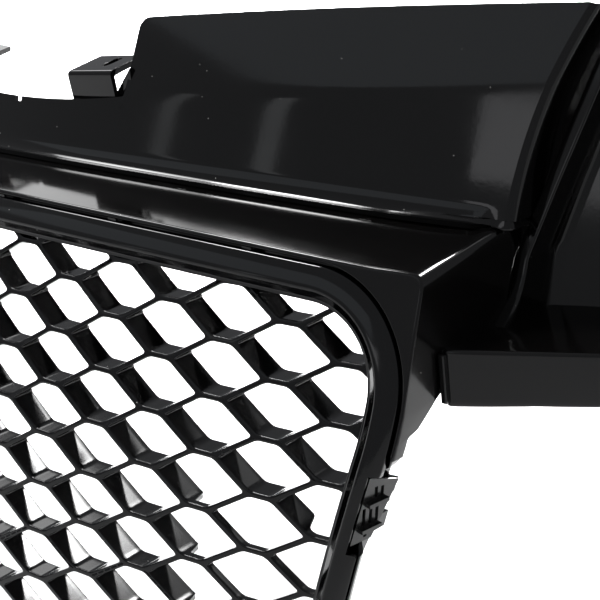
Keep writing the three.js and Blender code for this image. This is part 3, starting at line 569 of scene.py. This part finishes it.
def box_rear(x, y, z):
    """Where the box wall ends at the back: the crease along the top, a slanting edge down the side."""
    corner = crease_y(BOX_X_TOP) - SEAM
    levels = [-160, -46, -44, -33, -15.5, 5, 12, 40]
    depths = [2, 2, 14, 27, 69.5, strip_y(8) - SEAM, strip_y(12) - 4, corner]
    slant = max(float(np.interp(z, levels, depths)), y + 6.5)
    across = clamp01((abs(x) - 258) / 6)
    down = clamp01((14.5 - z) / 1.5)
    rear_y = mix(crease_y(min(abs(x), BOX_X_TOP)) - SEAM, slant, across * down)
    flare = BOX_FLARE * clamp01((abs(x) - 225) / 38)
    rise = SHELF_RISE * clamp01((z + 30) / 44)
    return x + math.copysign(flare, x) * (rear_y - y), rear_y, z + rise * (rear_y - y)


def box_shell():
    """Top shelf and side walls of the box, with the flat face between the ring and their front edge."""
    chosen = [s for s in STATIONS if s[1] > BOX_END_Z]
    chosen.sort(key=lambda s: math.atan2(s[0], s[1] + 120))
    sections = []
    for station in chosen:
        x, z = box_outline(station)
        front = np.array((x, front_y(x, z) + LIP_FRONT, z))
        rear = np.array(box_rear(*front))
        inner = np.array(on_station(station, (RING_OUT + GROOVE, LIP_FRONT)))
        inner_back = np.array(on_station(station, (RING_OUT + GROOVE, 0.5)))
        outward = np.array((station[2], 0, station[3]))
        along = rear - front
        run = along / np.linalg.norm(along)
        across = inner - front
        face = across / (np.linalg.norm(across) + 1e-9)
        wall_in = -WALL * outward
        reach = min(EDGE_RADIUS, np.linalg.norm(across) * 0.45)
        loop = [inner_back, inner + (inner_back - inner) * 0.12, inner - face * 0.5]
        loop += curve(front + face * reach, front, front + run * EDGE_RADIUS, 5)
        loop += [rear - run * 0.7, rear + wall_in * 0.3, rear + wall_in, front + wall_in + run * 2.5]
        sections.append(loop)
    return sweep("box_shell", sections, FRAME_BLACK)


def cylinder_y(name, x, z, radius, y0, y1, material, sides=24):
    points = []
    for y in (y0, y1):
        for k in range(sides):
            a = 2 * math.pi * k / sides
            points.append((x + radius * math.cos(a), y, z + radius * math.sin(a)))
    faces = [(k, (k + 1) % sides, sides + (k + 1) % sides, sides + k) for k in range(sides)]
    faces += [tuple(range(sides))[::-1], tuple(range(sides, 2 * sides))]
    return clean(make_object(name, points, faces, material))


def insert_screw_places():
    places = [(x, OPENING_TOP - CROWN * x * x + SCREW_OUT) for x in TOP_SCREW_X]
    places += [(opening_side_x(z) + SCREW_OUT, z) for z in SIDE_SCREW_Z]
    places += [(x, OPENING_BOTTOM + CROWN * x * x - SCREW_OUT) for x in LOW_SCREW_X]
    return places


def carrier():
    pieces = [channel(), box_shell()]
    for x, z in insert_screw_places():
        depth = THIN_WEB_DEPTH if z < -92.3 else WEB_DEPTH
        for sx in (x, -x):
            y = front_y(sx, z) + depth
            pieces.append(cylinder_y("boss", sx, z, BOSS_R, y + 0.8, y + BOSS_H, FRAME_BLACK))
    for sign in (1, -1):
        z = OPENING_BOTTOM + CROWN * TAB_X ** 2
        y = front_y(TAB_X + TAB_W / 2, z - TAB_FOLD) - 1
        xs = (sign * TAB_X - TAB_W / 2, sign * TAB_X + TAB_W / 2)
        pieces.append(block("tab", xs, (y, y + TAB_T), (z - TAB_H, z - TAB_FOLD), FRAME_BLACK))
    for x in (*(-x for x in PANEL_SCREW_X[::-1]), *PANEL_SCREW_X):
        rear, z = crease_y(x) - 0.8, crease_z(x) - 6
        xs, ys = (x - SEAT_HALF, x + SEAT_HALF), (rear - SEAT_DEPTH, rear)
        pieces.append(block("seat", xs, ys, (z - 5, z + 3.2), FRAME_BLACK))
    body = joined("carrier_shell", pieces)
    return rim(body, 0.35, 2, 60)


# ---------- honeycomb insert ----------


def clip_convex(polygon, clipper):
    """The part of a convex polygon inside another convex one, both anticlockwise."""
    kept = list(polygon)
    count = len(clipper)
    for i in range(count):
        ax, az = clipper[i]
        bx, bz = clipper[(i + 1) % count]
        sides = [(bx - ax) * (q - az) - (bz - az) * (p - ax) for p, q in kept]
        if min(sides, default=0) >= 0:
            continue
        following = []
        for j, (p, side) in enumerate(zip(kept, sides)):
            q, other = kept[(j + 1) % len(kept)], sides[(j + 1) % len(kept)]
            if side >= 0:
                following.append(p)
            if side * other < 0:
                t = side / (side - other)
                following.append((mix(p[0], q[0], t), mix(p[1], q[1], t)))
        kept = following
        if not kept:
            return []
    return kept


def convex_outline(points):
    """The convex outline round points, anticlockwise."""
    def half(ordered):
        kept = []
        for p in ordered:
            while len(kept) > 1 and ((kept[-1][0] - kept[-2][0]) * (p[1] - kept[-2][1])
                                     <= (kept[-1][1] - kept[-2][1]) * (p[0] - kept[-2][0])):
                kept.pop()
            kept.append(p)
        return kept[:-1]

    ordered = sorted(points)
    return half(ordered) + half(ordered[::-1])


def polygon_area(polygon):
    p = np.array(polygon)
    q = np.roll(p, -1, axis=0)
    return abs(float(np.sum(p[:, 0] * q[:, 1] - p[:, 1] * q[:, 0]))) / 2


def cell_outlines(cx, cz):
    """Web centre lines round one cell, and the hole inside it."""
    overhang = CELL_COLUMN - CELL_EDGE
    tip = CELL_EDGE / 2 + overhang
    half = CELL_ROW / 2
    slope = math.atan2(half, overhang)
    hole_half = half - WEB / 2
    reach = tip * math.sin(slope) - WEB / 2
    corner = (reach - hole_half * math.cos(slope)) / math.sin(slope)

    def hexagon(edge, end, height):
        return [(cx + end, cz), (cx + edge, cz + height), (cx - edge, cz + height),
                (cx - end, cz), (cx - edge, cz - height), (cx + edge, cz - height)]

    return hexagon(CELL_EDGE / 2, tip, half), hexagon(corner, reach / math.sin(slope), hole_half)


def web_depth(x, z):
    """The webs are shallower beside the lower sides and along the bottom, past a soft step."""
    inside = min(abs(x) - THIN_X, THIN_Z - z)
    inside = max(inside, THIN_BOTTOM - z)
    t = clamp01(inside / 2.4 + 0.5)
    return mix(WEB_DEPTH, THIN_WEB_DEPTH, t * t * (3 - 2 * t))


def ray_hit(centre, angle, polygon):
    """How far a ray from inside a convex polygon goes before it leaves."""
    dx, dz = math.cos(angle), math.sin(angle)
    best = 1e9
    count = len(polygon)
    for i in range(count):
        ax, az = polygon[i][0] - centre[0], polygon[i][1] - centre[1]
        bx, bz = polygon[(i + 1) % count][0] - centre[0], polygon[(i + 1) % count][1] - centre[1]
        ex, ez = bx - ax, bz - az
        cross = dx * ez - dz * ex
        if abs(cross) < 1e-12:
            continue
        t = (ax * ez - az * ex) / cross
        u = (ax * dz - az * dx) / cross
        if t > 0 and -1e-9 <= u <= 1 + 1e-9:
            best = min(best, t)
    return best


def subdivided(polygon, step):
    """A polygon with points added along its edges, the same from either end of each edge."""
    out = []
    count = len(polygon)
    for i in range(count):
        a, b = polygon[i], polygon[(i + 1) % count]
        length = math.dist(a, b)
        if length < 1e-4:
            continue
        parts = max(1, round(length / step))
        out += [(mix(a[0], b[0], k / parts), mix(a[1], b[1], k / parts)) for k in range(parts)]
    return out


# The wall of a cell: how far each line is from the hole's edge, its depth from the front, and its
# depth from the back.
CELL_LINES = [(0.75, 0.0, None), (0.4, 0.05, None), (0.16, 0.2, None), (0.03, 0.45, None), (0, 0.8, None),
              (0.0, None, 3.0), (0, None, 0.5), (0.12, None, 0.15), (0.4, None, 0.0)]


def honeycomb():
    rim_out, rim_in = (convex_outline([on_station(s, (out, 0))[::2] for s in STATIONS])
                       for out in (RIM_OUT, RIM_IN))
    points, faces = [], []

    def add(x, z, depth):
        points.append((x, front_y(x, z) + depth, z))
        return len(points) - 1

    border = {}

    def edge_key(p, q):
        return (round(p[0], 2), round(p[1], 2)), (round(q[0], 2), round(q[1], 2))

    for column in range(-9, 10):
        shift = CELL_ROW / 2 if column % 2 else 0
        for row in range(-2, 13):
            full, opening = cell_outlines(column * CELL_COLUMN, CELL_PHASE + shift - row * CELL_ROW)
            outer = clip_convex(full, rim_out)
            if len(outer) < 3 or polygon_area(outer) < 0.5:
                continue
            hole = clip_convex(opening, rim_in)
            is_open = len(hole) > 2 and polygon_area(hole) > SMALLEST_CELL
            ring = subdivided(outer, 1.1)
            count = len(ring)
            for k in range(count):
                p, q = ring[k], ring[(k + 1) % count]
                forward, backward = edge_key(p, q), edge_key(q, p)
                if backward in border:
                    del border[backward]
                else:
                    border[forward] = (p, q)
            front = [add(x, z, 0) for x, z in ring]
            rear = [add(x, z, web_depth(x, z)) for x, z in ring]
            if not is_open:
                cx, cz = np.mean(outer, axis=0)
                middle_front, middle_rear = add(cx, cz, 0), add(cx, cz, web_depth(cx, cz))
                for k in range(count):
                    faces.append((front[(k + 1) % count], front[k], middle_front))
                    faces.append((rear[k], rear[(k + 1) % count], middle_rear))
                continue
            soft = [tuple(p) for p in rounded(hole, [CELL_CORNER] * len(hole), 6)]
            centre = tuple(np.mean(hole, axis=0))
            lines = []
            for x, z in ring:
                angle = math.atan2(z - centre[1], x - centre[0])
                inner, reach = ray_hit(centre, angle, soft), math.dist(centre, (x, z))
                line = []
                for out, from_front, from_back in CELL_LINES:
                    distance = min(inner + out, mix(inner, reach, 0.9))
                    px, pz = centre[0] + distance * math.cos(angle), centre[1] + distance * math.sin(angle)
                    depth = from_front if from_back is None else web_depth(px, pz) - from_back
                    line.append(add(px, pz, depth))
                lines.append(line)
            for k in range(count):
                a, b = lines[k], lines[(k + 1) % count]
                faces.append((front[k], a[0], b[0], front[(k + 1) % count]))
                for j in range(len(CELL_LINES) - 1):
                    faces.append((a[j], a[j + 1], b[j + 1], b[j]))
                faces.append((a[-1], rear[k], rear[(k + 1) % count], b[-1]))
    for p, q in border.values():
        quad = [add(*p, 0), add(*q, 0), add(*q, web_depth(*q)), add(*p, web_depth(*p))]
        faces.append(tuple(quad))
    insert = make_object("honeycomb_shell", points, faces, MESH_BLACK)
    return weigh(clean(insert, 8e-6))


# ---------- upper panel ----------


def panel_top_z(x):
    return PANEL_TOP_Z - 0.9 + 0.105 * abs(x) - 1.2e-4 * x * x


def low_top_z(x):
    return LOW_TOP_Z + LOW_TOP_RISE * x * x


def panel_edge(z):
    return PANEL_HALF + 0.2 * max(z - 25, 0)


def edge_return(z):
    """How far the panel's side runs back: a little past the front of the wing's strip."""
    return strip_y(z) - panel_y(panel_edge(z), z) + 4.5


def top_line():
    """The panel's upper edge from the centre out: a notch, a low stretch, a step and a high stretch."""
    half = NOTCH_W / 2
    line = [(x, low_top_z(x) - NOTCH_DEPTH) for x in np.linspace(0, half - 0.05, 3)]
    line += [(x, low_top_z(x)) for x in np.linspace(half + 0.05, STEP_X - 2.5, 34)]
    low = low_top_z(STEP_X - 2.5)
    line += [(STEP_X - 2.5 + 2.5 * math.sin(a), low + 2.5 - 2.5 * math.cos(a))
             for a in np.radians((20, 40, 60, 80))]
    high = panel_top_z(STEP_X + STEP_R)
    line += [(STEP_X + 0.01 * k, z) for k, z in enumerate(np.linspace(low + 3.5, high - STEP_R, 14))]
    line += [(STEP_X + STEP_R - STEP_R * math.cos(a), high - STEP_R + STEP_R * math.sin(a))
             for a in np.radians((10, 25, 40, 55, 70, 85))]
    line += [(x, panel_top_z(x)) for x in np.linspace(STEP_X + STEP_R + 1, 285, 74)]
    return line


def panel_sheet():
    """The panel's front skin, with a cove along its foot and a return at each side."""
    line = top_line()
    climb, travelled = 0.0, []
    for i, (x, z) in enumerate(line):
        if i:
            climb += abs(z - line[i - 1][1]) if abs(x - line[i - 1][0]) < 1.2 else 0
        travelled.append(x + 0.35 * climb)
    spread = (PANEL_HALF - SIDE_ROUND) / travelled[-1]
    columns = [(u * spread, x / 285, x, z) for u, (x, z) in zip(travelled, line)]
    side = [(SIDE_ROUND * math.sin(a), SIDE_ROUND * (1 - math.cos(a)))
            for a in np.radians((20, 40, 60, 80, 90))]
    # The cove along the foot: the share of its depth that it stands forward, and the height.
    cove_line = [(1.0, -1.75), (0.94, -1.7), (0.8, -1.45), (0.62, -0.95), (0.45, -0.1), (0.3, 1.0),
                 (0.18, 2.4), (0.08, 4.2), (0.02, 6.0)]
    rows = [("cove", f, h) for f, h in cove_line] + [("lean", t, 0) for t in np.linspace(0, 1, 66)]

    def point(column, row, extra=(0, 0), deep=0.0):
        foot_x, share, top_x, top_z = column
        kind, t, height = row
        cove = clamp01((268 - foot_x) / 5)
        if kind == "cove":
            x, z = foot_x, crease_z(foot_x) + height
            y = panel_y(x, max(z, crease_z(x))) - COVE_DEPTH * cove * t
            if t > 0.4:
                z += 1.2 * clamp01((abs(x) - 225) / 38)
        else:
            z = mix(crease_z(foot_x) + COVE_HEIGHT, top_z, t)
            right = panel_edge(z) - SIDE_ROUND
            beside = clamp01((top_x - 200) / 60)
            x = mix(foot_x, mix(top_x, right * share, beside), t)
            x = x if top_x < 200 else min(x, right)
            y = panel_y(x, z)
        x += extra[0]
        y += extra[1] + deep * edge_return(z)
        return (x, y, z)

    grid = []
    for row in rows:
        right = [point(c, row) for c in columns]
        last = columns[-1]
        right += [point(last, row, e) for e in side]
        right += [point(last, row, (SIDE_ROUND + 0.3 * d, SIDE_ROUND), d) for d in (0.35, 0.7, 1.0)]
        left = [(-x, y, z) for x, y, z in right[:0:-1]]
        grid.append(left + right)
    skin = sheet_through("panel_skin", grid, PANEL_BLACK, flip=True)
    thicken(skin, PANEL_T, -1)
    return rim(skin, 0.7, 3, 45)


def panel_foot():
    """The strip behind the shelf's rear edge that the panel is screwed on by."""
    xs = np.linspace(-(PANEL_HALF - 3), PANEL_HALF - 3, 91)
    sections = []
    for x in xs:
        y, z = crease_y(x) + 0.15, crease_z(x)
        outline = [(y, z - PANEL_FOOT), (y + PANEL_T, z - PANEL_FOOT),
                   (y + PANEL_T + 1.2, z + 6), (y + 1.4, z + 6)]
        sections.append([(x, a, b) for a, b in rounded(outline, [0.6, 0.6, 0.2, 0.2], 3)])
    foot = sweep("panel_foot", sections, PANEL_BLACK)
    returns = []
    for sign in (1, -1):
        xs = sorted((sign * (PANEL_HALF - 4.6), sign * (PANEL_HALF - 2.3)))
        y = crease_y(PANEL_HALF - 3) + 0.3
        z = crease_z(PANEL_HALF)
        returns.append(block("return", xs, (y, y + 14.5), (z - PANEL_FOOT, z + 2), PANEL_BLACK))
    return rim(joined("panel_foot", [foot, *returns]), 0.4, 2, 60)


def extruded(name, outline, direction, length, material):
    """A flat outline of three-dimensional points pushed along a direction."""
    offset = np.asarray(direction, float) * length
    near = [np.asarray(p, float) for p in outline]
    return sweep(name, [near, [p + offset for p in near]], material)


def subtract(obj, tool):
    """Cuts tool out of obj for good, and removes tool."""
    modifier = obj.modifiers.new("cut", "BOOLEAN")
    modifier.operation = "DIFFERENCE"
    modifier.solver = "EXACT"
    modifier.object = tool
    with bpy.context.temp_override(object=obj, active_object=obj):
        bpy.ops.object.modifier_apply(modifier=modifier.name)
    bpy.data.objects.remove(tool)
    for polygon in obj.data.polygons:
        polygon.use_smooth = True
    return obj


def bracket():
    """The folded bracket behind the low stretch of the panel's edge, with a slot in its top."""
    w, h, depth, t = BRACKET_W, BRACKET_H, BRACKET_DEPTH, BRACKET_T
    back = h + BRACKET_RISE
    origin = np.array((BRACKET_X, panel_y(BRACKET_X, BRACKET_Z), BRACKET_Z))
    profile = [(0.4, -5), (-2, h), (depth, back), (depth, back - t), (t - 1.6, h - t), (t + 0.4, -5)]
    radii = [0.2, 2.6, 0.8, 0.8, 1.0, 0.2]
    outline = [(-w / 2, y, z) for y, z in rounded(profile, radii, 5)]
    fold = extruded("bracket_fold", outline, (1, 0, 0), w, PANEL_BLACK)
    slot = []
    for centre, start in (((SLOT_L - SLOT_W) / 2, 0), (-(SLOT_L - SLOT_W) / 2, math.pi)):
        for k in range(13):
            a = start + math.pi * k / 12
            along = depth * 0.55 + centre + SLOT_W / 2 * math.sin(a)
            slot.append((3 + SLOT_W / 2 * math.cos(a), along, h - 8))
    tool = extruded("slot_tool", slot, (0, 0, 1), 20, PANEL_BLACK)
    fold = subtract(fold, tool)
    gap = STEP_X - BRACKET_X + 3
    web = [(w / 2 - 2, 4.5, -4), (gap, 4.5, -4), (gap, 4.5, 14), (w / 2 - 2, 4.5, 2)]
    gusset = extruded("bracket_gusset", web, (0, -1, 0), 2, PANEL_BLACK)
    piece = joined("bracket", [fold, gusset])
    place = Matrix.Translation(origin / 1000) @ Matrix.Rotation(-BRACKET_TILT, 4, "Y")
    home = Matrix.Translation(Vector((0, SHIFT_Y, SHIFT_Z)) / 1000)
    piece.data.transform(home @ place @ home.inverted())
    return rim(piece, 0.5, 3, 35)


# ---------- wings ----------


def beam_y(x):
    return BEAM_Y + BEAM_SWEEP * (x - BEAM_X) + BEAM_BEND * (x - BEAM_X) ** 2


def beam_top(x):
    return BEAM_TOP + BEAM_RISE * (x - BEAM_X)


def beam_height(x):
    return mix(BEAM_H, BEAM_H_OUTER, clamp01((x - BEAM_X) / (WING_OUT - BEAM_X)))


def recess_y(x, z):
    return RECESS_Y + RECESS_LEAN * z + RECESS_SWEEP * (x - RECESS_X)


def wing_top_z(x):
    xs, zs = [p[0] for p in WING_TOP_LINE], [p[1] for p in WING_TOP_LINE]
    samples = [float(np.interp(x + d, xs, zs)) for d in np.linspace(-14, 14, 15)]
    return sum(samples) / len(samples)


def bend_points(corner, before, after, radius, steps=5):
    """Points round a corner of an open line, from the side of before to the side of after."""
    corner, before, after = (np.asarray(p, float) for p in (corner, before, after))
    start = corner + (before - corner) * min(1, radius / np.linalg.norm(before - corner))
    end = corner + (after - corner) * min(1, radius / np.linalg.norm(after - corner))
    return [tuple(p) for p in curve(start, corner, end, steps)]


def beam_sheet():
    """Underside, face and shelf of the beam below the lamp. It follows the box's wall as far as HUG_X."""
    across = [0, 0.004, 0.012, 0.025, 0.045, *np.linspace(0.08, 1, 16)]
    xs = list(np.linspace(HUG_X + 3, WING_OUT - 1, 66))
    grid = []
    for u in across + xs:
        hug = u <= 1
        x0 = mix(BEAM_X + WING_GAP, HUG_X, u) if hug else u
        ease = 2.2 * (1 - clamp01((x0 - 269) / 3.5)) ** 2
        top, low, front = beam_top(x0), beam_top(x0) - beam_height(x0), beam_y(x0) - 1 + ease
        past_strip = clamp01((x0 - STRIP_X + 3) / 3)
        rear = mix(strip_y(top) + 4, recess_y(max(x0, STRIP_X + STRIP_W), top) + 1.4, past_strip)
        under, foot, brow, back = (front + 12, low), (front + 0.6, low), (front + 0.6, top), (rear, top)
        path = [under, *bend_points(foot, under, brow, 2.2), *bend_points(brow, foot, back, 2.0)]
        path += [(mix(front + 4, rear, t), top) for t in np.linspace(0.05, 1, 16)]
        row = []
        for y, z in path:
            near = wall_x(min(y, 74), z) + WING_GAP - 0.5
            row.append((mix(near, HUG_X, u) if hug else x0, y, z))
        grid.append(row)
    sheet = sheet_through("beam", grid, WING_BLACK)
    thicken(clean(sheet), WING_T - 0.3, -1)
    return rim(sheet, 0.5, 3, 45)


def lamp_wall():
    """The strip beside the panel, its side, and the recess wall behind the lamp."""
    rows = np.linspace(0, 1, 44)
    grid = []
    for t in rows:
        z = mix(BEAM_TOP - 1, WING_TOP_LINE[0][1], t)
        xs, ys = strip_x(z), strip_y(z)
        width = STRIP_W + 1.5 * clamp01((40 - z) / 60)
        deep = recess_y(xs + width, z) + 1.2
        foot = clamp01((4 - z) / 18) ** 2
        turn = ys + STRIP_SIDE
        inward = (xs - STRIP_FLANGE, turn + 1)
        line = [inward, *bend_points((xs + 0.2, turn), inward, (xs, ys), 2)]
        line += bend_points((xs, ys), (xs + 0.2, turn), (xs + width, ys), 1.2)
        line += bend_points((xs + width, ys), (xs, ys), (xs + width, deep), 1.6)
        line = [(x, y - 9 * foot * clamp01((xs + width + 1 - x) / 2)) for x, y in line]
        far = (HUG_X, recess_y(HUG_X, z) + 1.2)
        line += bend_points((xs + width, deep), (xs + width, ys), far, 5, 7)
        row = [(x, y, z) for x, y in line]
        for x in np.linspace(HUG_X + 2, WING_OUT - 0.5, 60):
            zz = mix(beam_top(x) - 1.5, wing_top_z(x), t)
            row.append((x, recess_y(x, zz) + 0.5, zz))
        grid.append(row)
    wall = sheet_through("lamp_wall", grid, WING_BLACK, flip=True)
    thicken(clean(wall), WING_T - 0.6, -1)
    return rim(wall, 0.6, 3, 45)


def wing_flange():
    """Flange along the box's side wall that the wing screws hold."""
    outline = [(27, -36), (27, -16), (64, -16), (58, -24), (38, -36)]
    near = [(wall_x(y, z) + WING_GAP, y, z) for y, z in outline]
    far = [(x + WING_T, y, z) for x, y, z in near]
    return rim(sweep("wing_flange", [near, far], WING_BLACK), 0.5)


# ---------- clips and screws ----------


def fine_clip(node):
    """A copy of a CAD clip with its flat faces whole and its edges rounded."""
    clip = linked(f"{node}_fine", frame["nodes"][node].data.copy())
    clip.data.materials.clear()
    clip.data.materials.append(CLIP_BLACK)
    clean(clip, 1e-5)
    flat = clip.modifiers.new("flat", "DECIMATE")
    flat.decimate_type = "DISSOLVE"
    flat.angle_limit = math.radians(3)
    return rim(clip, 0.25, 2, 25)


HEAD_HEIGHT = 0.0022


def screw_mesh():
    """A pan head screw with a cross recess, its head along +Y from the origin."""
    bm = bmesh.new()

    def vertex(x, y, z):
        return bm.verts.new((x / 1000, y / 1000, z / 1000))

    def circle(radius, y, sides):
        angles = [2 * math.pi * k / sides for k in range(sides)]
        return [vertex(radius * math.cos(a), y, radius * math.sin(a)) for a in angles]

    def bridge(lower, upper):
        count = len(lower)
        for k in range(count):
            n = (k + 1) % count
            bm.faces.new((lower[k], lower[n], upper[n], upper[k]))

    sides = 28
    head = [(3.0, 0.0), (3.0, 0.9), (2.75, 1.5), (2.2, 1.95), (1.2, 2.15)]
    rings = [circle(radius, y, sides) for radius, y in head]
    recess = []
    for k in range(sides):
        a = 2 * math.pi * k / sides
        lobe = 0.55 + 0.6 * abs(math.cos(2 * a)) ** 6
        recess.append((lobe * math.cos(a), lobe * math.sin(a)))
    rings.append([vertex(x, 2.1, z) for x, z in recess])
    rings.append([vertex(0.6 * x, 0.9, 0.6 * z) for x, z in recess])
    for lower, upper in zip(rings, rings[1:]):
        bridge(lower, upper)
    shank = [circle(1.35, y, 16) for y in (0.2, -5.5)]
    bridge(*shank)
    for flat in (rings[-1][::-1], rings[0][::-1], shank[0], shank[1][::-1]):
        bm.faces.new(flat)
    bmesh.ops.recalc_face_normals(bm, faces=bm.faces)
    mesh = bpy.data.meshes.new("screw")
    bm.to_mesh(mesh)
    bm.free()
    for polygon in mesh.polygons:
        polygon.use_smooth = True
    mesh.materials.append(ZINC)
    return mesh


def screws():
    """A fine screw in the place of each CAD one."""
    mesh = screw_mesh()
    for node in sorted(n for n in frame["nodes"] if "_screw_" in n):
        low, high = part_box(node)
        middle = (low + high) / 2
        piece = linked(f"{node}_fine", mesh.copy())
        if node.startswith("wing"):
            side = 1 if middle.x > 0 else -1
            seat = (high.x if side < 0 else low.x) + side * HEAD_HEIGHT
            piece.matrix_world = (Matrix.Translation((seat, middle.y, middle.z))
                                  @ Matrix.Rotation(side * math.pi / 2, 4, "Z"))
        else:
            piece.matrix_world = Matrix.Translation((middle.x, high.y - HEAD_HEIGHT, middle.z))
        piece.modifiers.new("weighted", "WEIGHTED_NORMAL")
        finish_piece(piece, "fastener", node)


# ---------- assembly ----------


finish_piece(trim_ring(), "ring", "trim_ring")
finish_piece(carrier(), "frame", "carrier_frame")
finish_piece(honeycomb(), "mesh", "honeycomb_insert")
finish_piece(panel_sheet(), "panel", "upper_panel")
finish_piece(panel_foot(), "panel")
right_bracket = bracket()
finish_piece(right_bracket, "panel")
finish_piece(mirrored_copy(right_bracket, "bracket_left"), "panel")

for part, name in ((beam_sheet(), "beam"), (lamp_wall(), "lamp_wall"), (wing_flange(), "wing_flange")):
    replaced = {"beam": ("wing_right", "wing_left")}.get(name, ())
    part.name = f"{name}_right"
    copy = mirrored_copy(part, f"{name}_left")
    finish_piece(part, "wing", *replaced[:1])
    finish_piece(copy, "wing", *replaced[1:])

for node in ("clip_right", "clip_left"):
    finish_piece(fine_clip(node), "clip", node)

screws()

# ---------- stage, lights and camera ----------

FLOOR_REACH = 14.0
WORLD_COLOR, WORLD_STRENGTH = (0.80, 0.82, 0.86, 1), 0.3
PART_MIDDLE = Vector((0.15, 0, 0.28))

corners = [(x * FLOOR_REACH, y * FLOOR_REACH, 0) for x, y in ((-1, -1), (1, -1), (1, 1), (-1, 1))]
floor_mesh = bpy.data.meshes.new("floor")
floor_mesh.from_pydata(corners, [], [(0, 1, 2, 3)])
floor_mesh.materials.append(pale_floor("pale floor"))
floor = linked("floor", floor_mesh)

world = bpy.data.worlds.new("studio")
bpy.context.scene.world = world
world.use_nodes = True
background = world.node_tree.nodes["Background"]
background.inputs["Color"].default_value = WORLD_COLOR
background.inputs["Strength"].default_value = WORLD_STRENGTH


def area_light(name, place, target, size, power, color=(1, 1, 1)):
    data = bpy.data.lights.new(name, "AREA")
    data.shape = "RECTANGLE"
    data.size, data.size_y = size
    data.energy = power
    data.color = color
    light = linked(name, data)
    light.location = place
    direction = Vector(target) - Vector(place)
    light.rotation_euler = direction.to_track_quat("-Z", "Y").to_euler()
    return light


def toward(azimuth, elevation):
    """The direction with this azimuth, from -Y towards +X, and this elevation, both in degrees."""
    a, e = math.radians(azimuth), math.radians(elevation)
    return Vector((math.sin(a) * math.cos(e), -math.cos(a) * math.cos(e), math.sin(e)))


def reflector(name, azimuth, elevation, distance, size, radiance, color=(1, 1, 1)):
    """A panel of light seen in the gloss, placed by the direction it is seen in from the part."""
    place = PART_MIDDLE + toward(azimuth, elevation) * distance
    power = radiance * math.pi * size[0] * size[1]
    return area_light(name, place, PART_MIDDLE, size, power, color)


def key_light(azimuth, elevation, strength, width):
    """A wide sun, which draws the bright lines along rounded edges."""
    data = bpy.data.lights.new("key", "SUN")
    data.energy = strength
    data.angle = math.radians(width)
    sun = linked("key", data)
    sun.rotation_euler = (-toward(azimuth, elevation)).to_track_quat("-Z", "Y").to_euler()


# The floor's lights have narrow beams, as with a grid, so that the gloss stays dark: place, target,
# width, power and the angle of the beam.
FLOOR_LIGHTS = {
    "floor right": ((1.3, 3.2, 2.3), (-2.0, 2.6, 0), 1.2, 280, 95),
    "floor far": ((-1.0, 3.2, 5.0), (-2.8, 3.4, 0), 1.5, 460, 90),
    "floor near": ((0.2, 1.6, 2.4), (0.15, 1.5, 0), 0.8, 80, 70),
}
for name, (place, target, size, power, beam) in FLOOR_LIGHTS.items():
    area_light(name, place, target, (size, size), power).data.spread = math.radians(beam)

COOL, PALE_BLUE = (0.95, 0.98, 1), (0.85, 0.93, 1)
reflector("window", -118, 33, 3, (0.95, 0.9), 2.6)
# A narrow beam concentrates its light, so this one is far brighter in the middle than its number.
reflector("edge light", -91, 49, 3, (0.8, 0.8), 0.22).data.spread = math.radians(22)
reflector("rear overhead", 157, 53, 3, (1.0, 0.8), 0.9)
reflector("right end", -2, 20.5, 3, (0.50, 0.28), 1.1, (0.97, 0.97, 1))
reflector("band one", -38, 16.5, 3, (0.09, 0.55), 0.5, COOL)
reflector("band two", -27, 16, 3, (0.11, 0.60), 0.65, COOL)
reflector("pale front", -30, 36, 3.4, (3.4, 0.9), 0.30, PALE_BLUE)
key_light(-95, 60, 1.1, 11)

# The camera's place in the CAD part's millimetres, and its axes.
EYE = (500.59, -338.05, 159.75)
CAMERA_RIGHT, CAMERA_UP = Vector((0.78009, 0.62514, -0.02577)), Vector((-0.18984, 0.27574, 0.94230))
CAMERA_VIEW = Vector((-0.59618, 0.73018, -0.33378))
SENSOR_WIDTH, LENS = 36, 72

camera_data = bpy.data.cameras.new("camera")
camera_data.sensor_width = SENSOR_WIDTH
camera_data.lens = LENS
camera_data.clip_end = 60
camera = linked("camera", camera_data)
axes = Matrix((CAMERA_RIGHT, CAMERA_UP, -CAMERA_VIEW)).transposed()
camera.matrix_world = Matrix.Translation(metres(EYE)) @ axes.to_4x4()
bpy.context.scene.camera = camera
bpy.context.scene.view_settings.view_transform = "Standard"
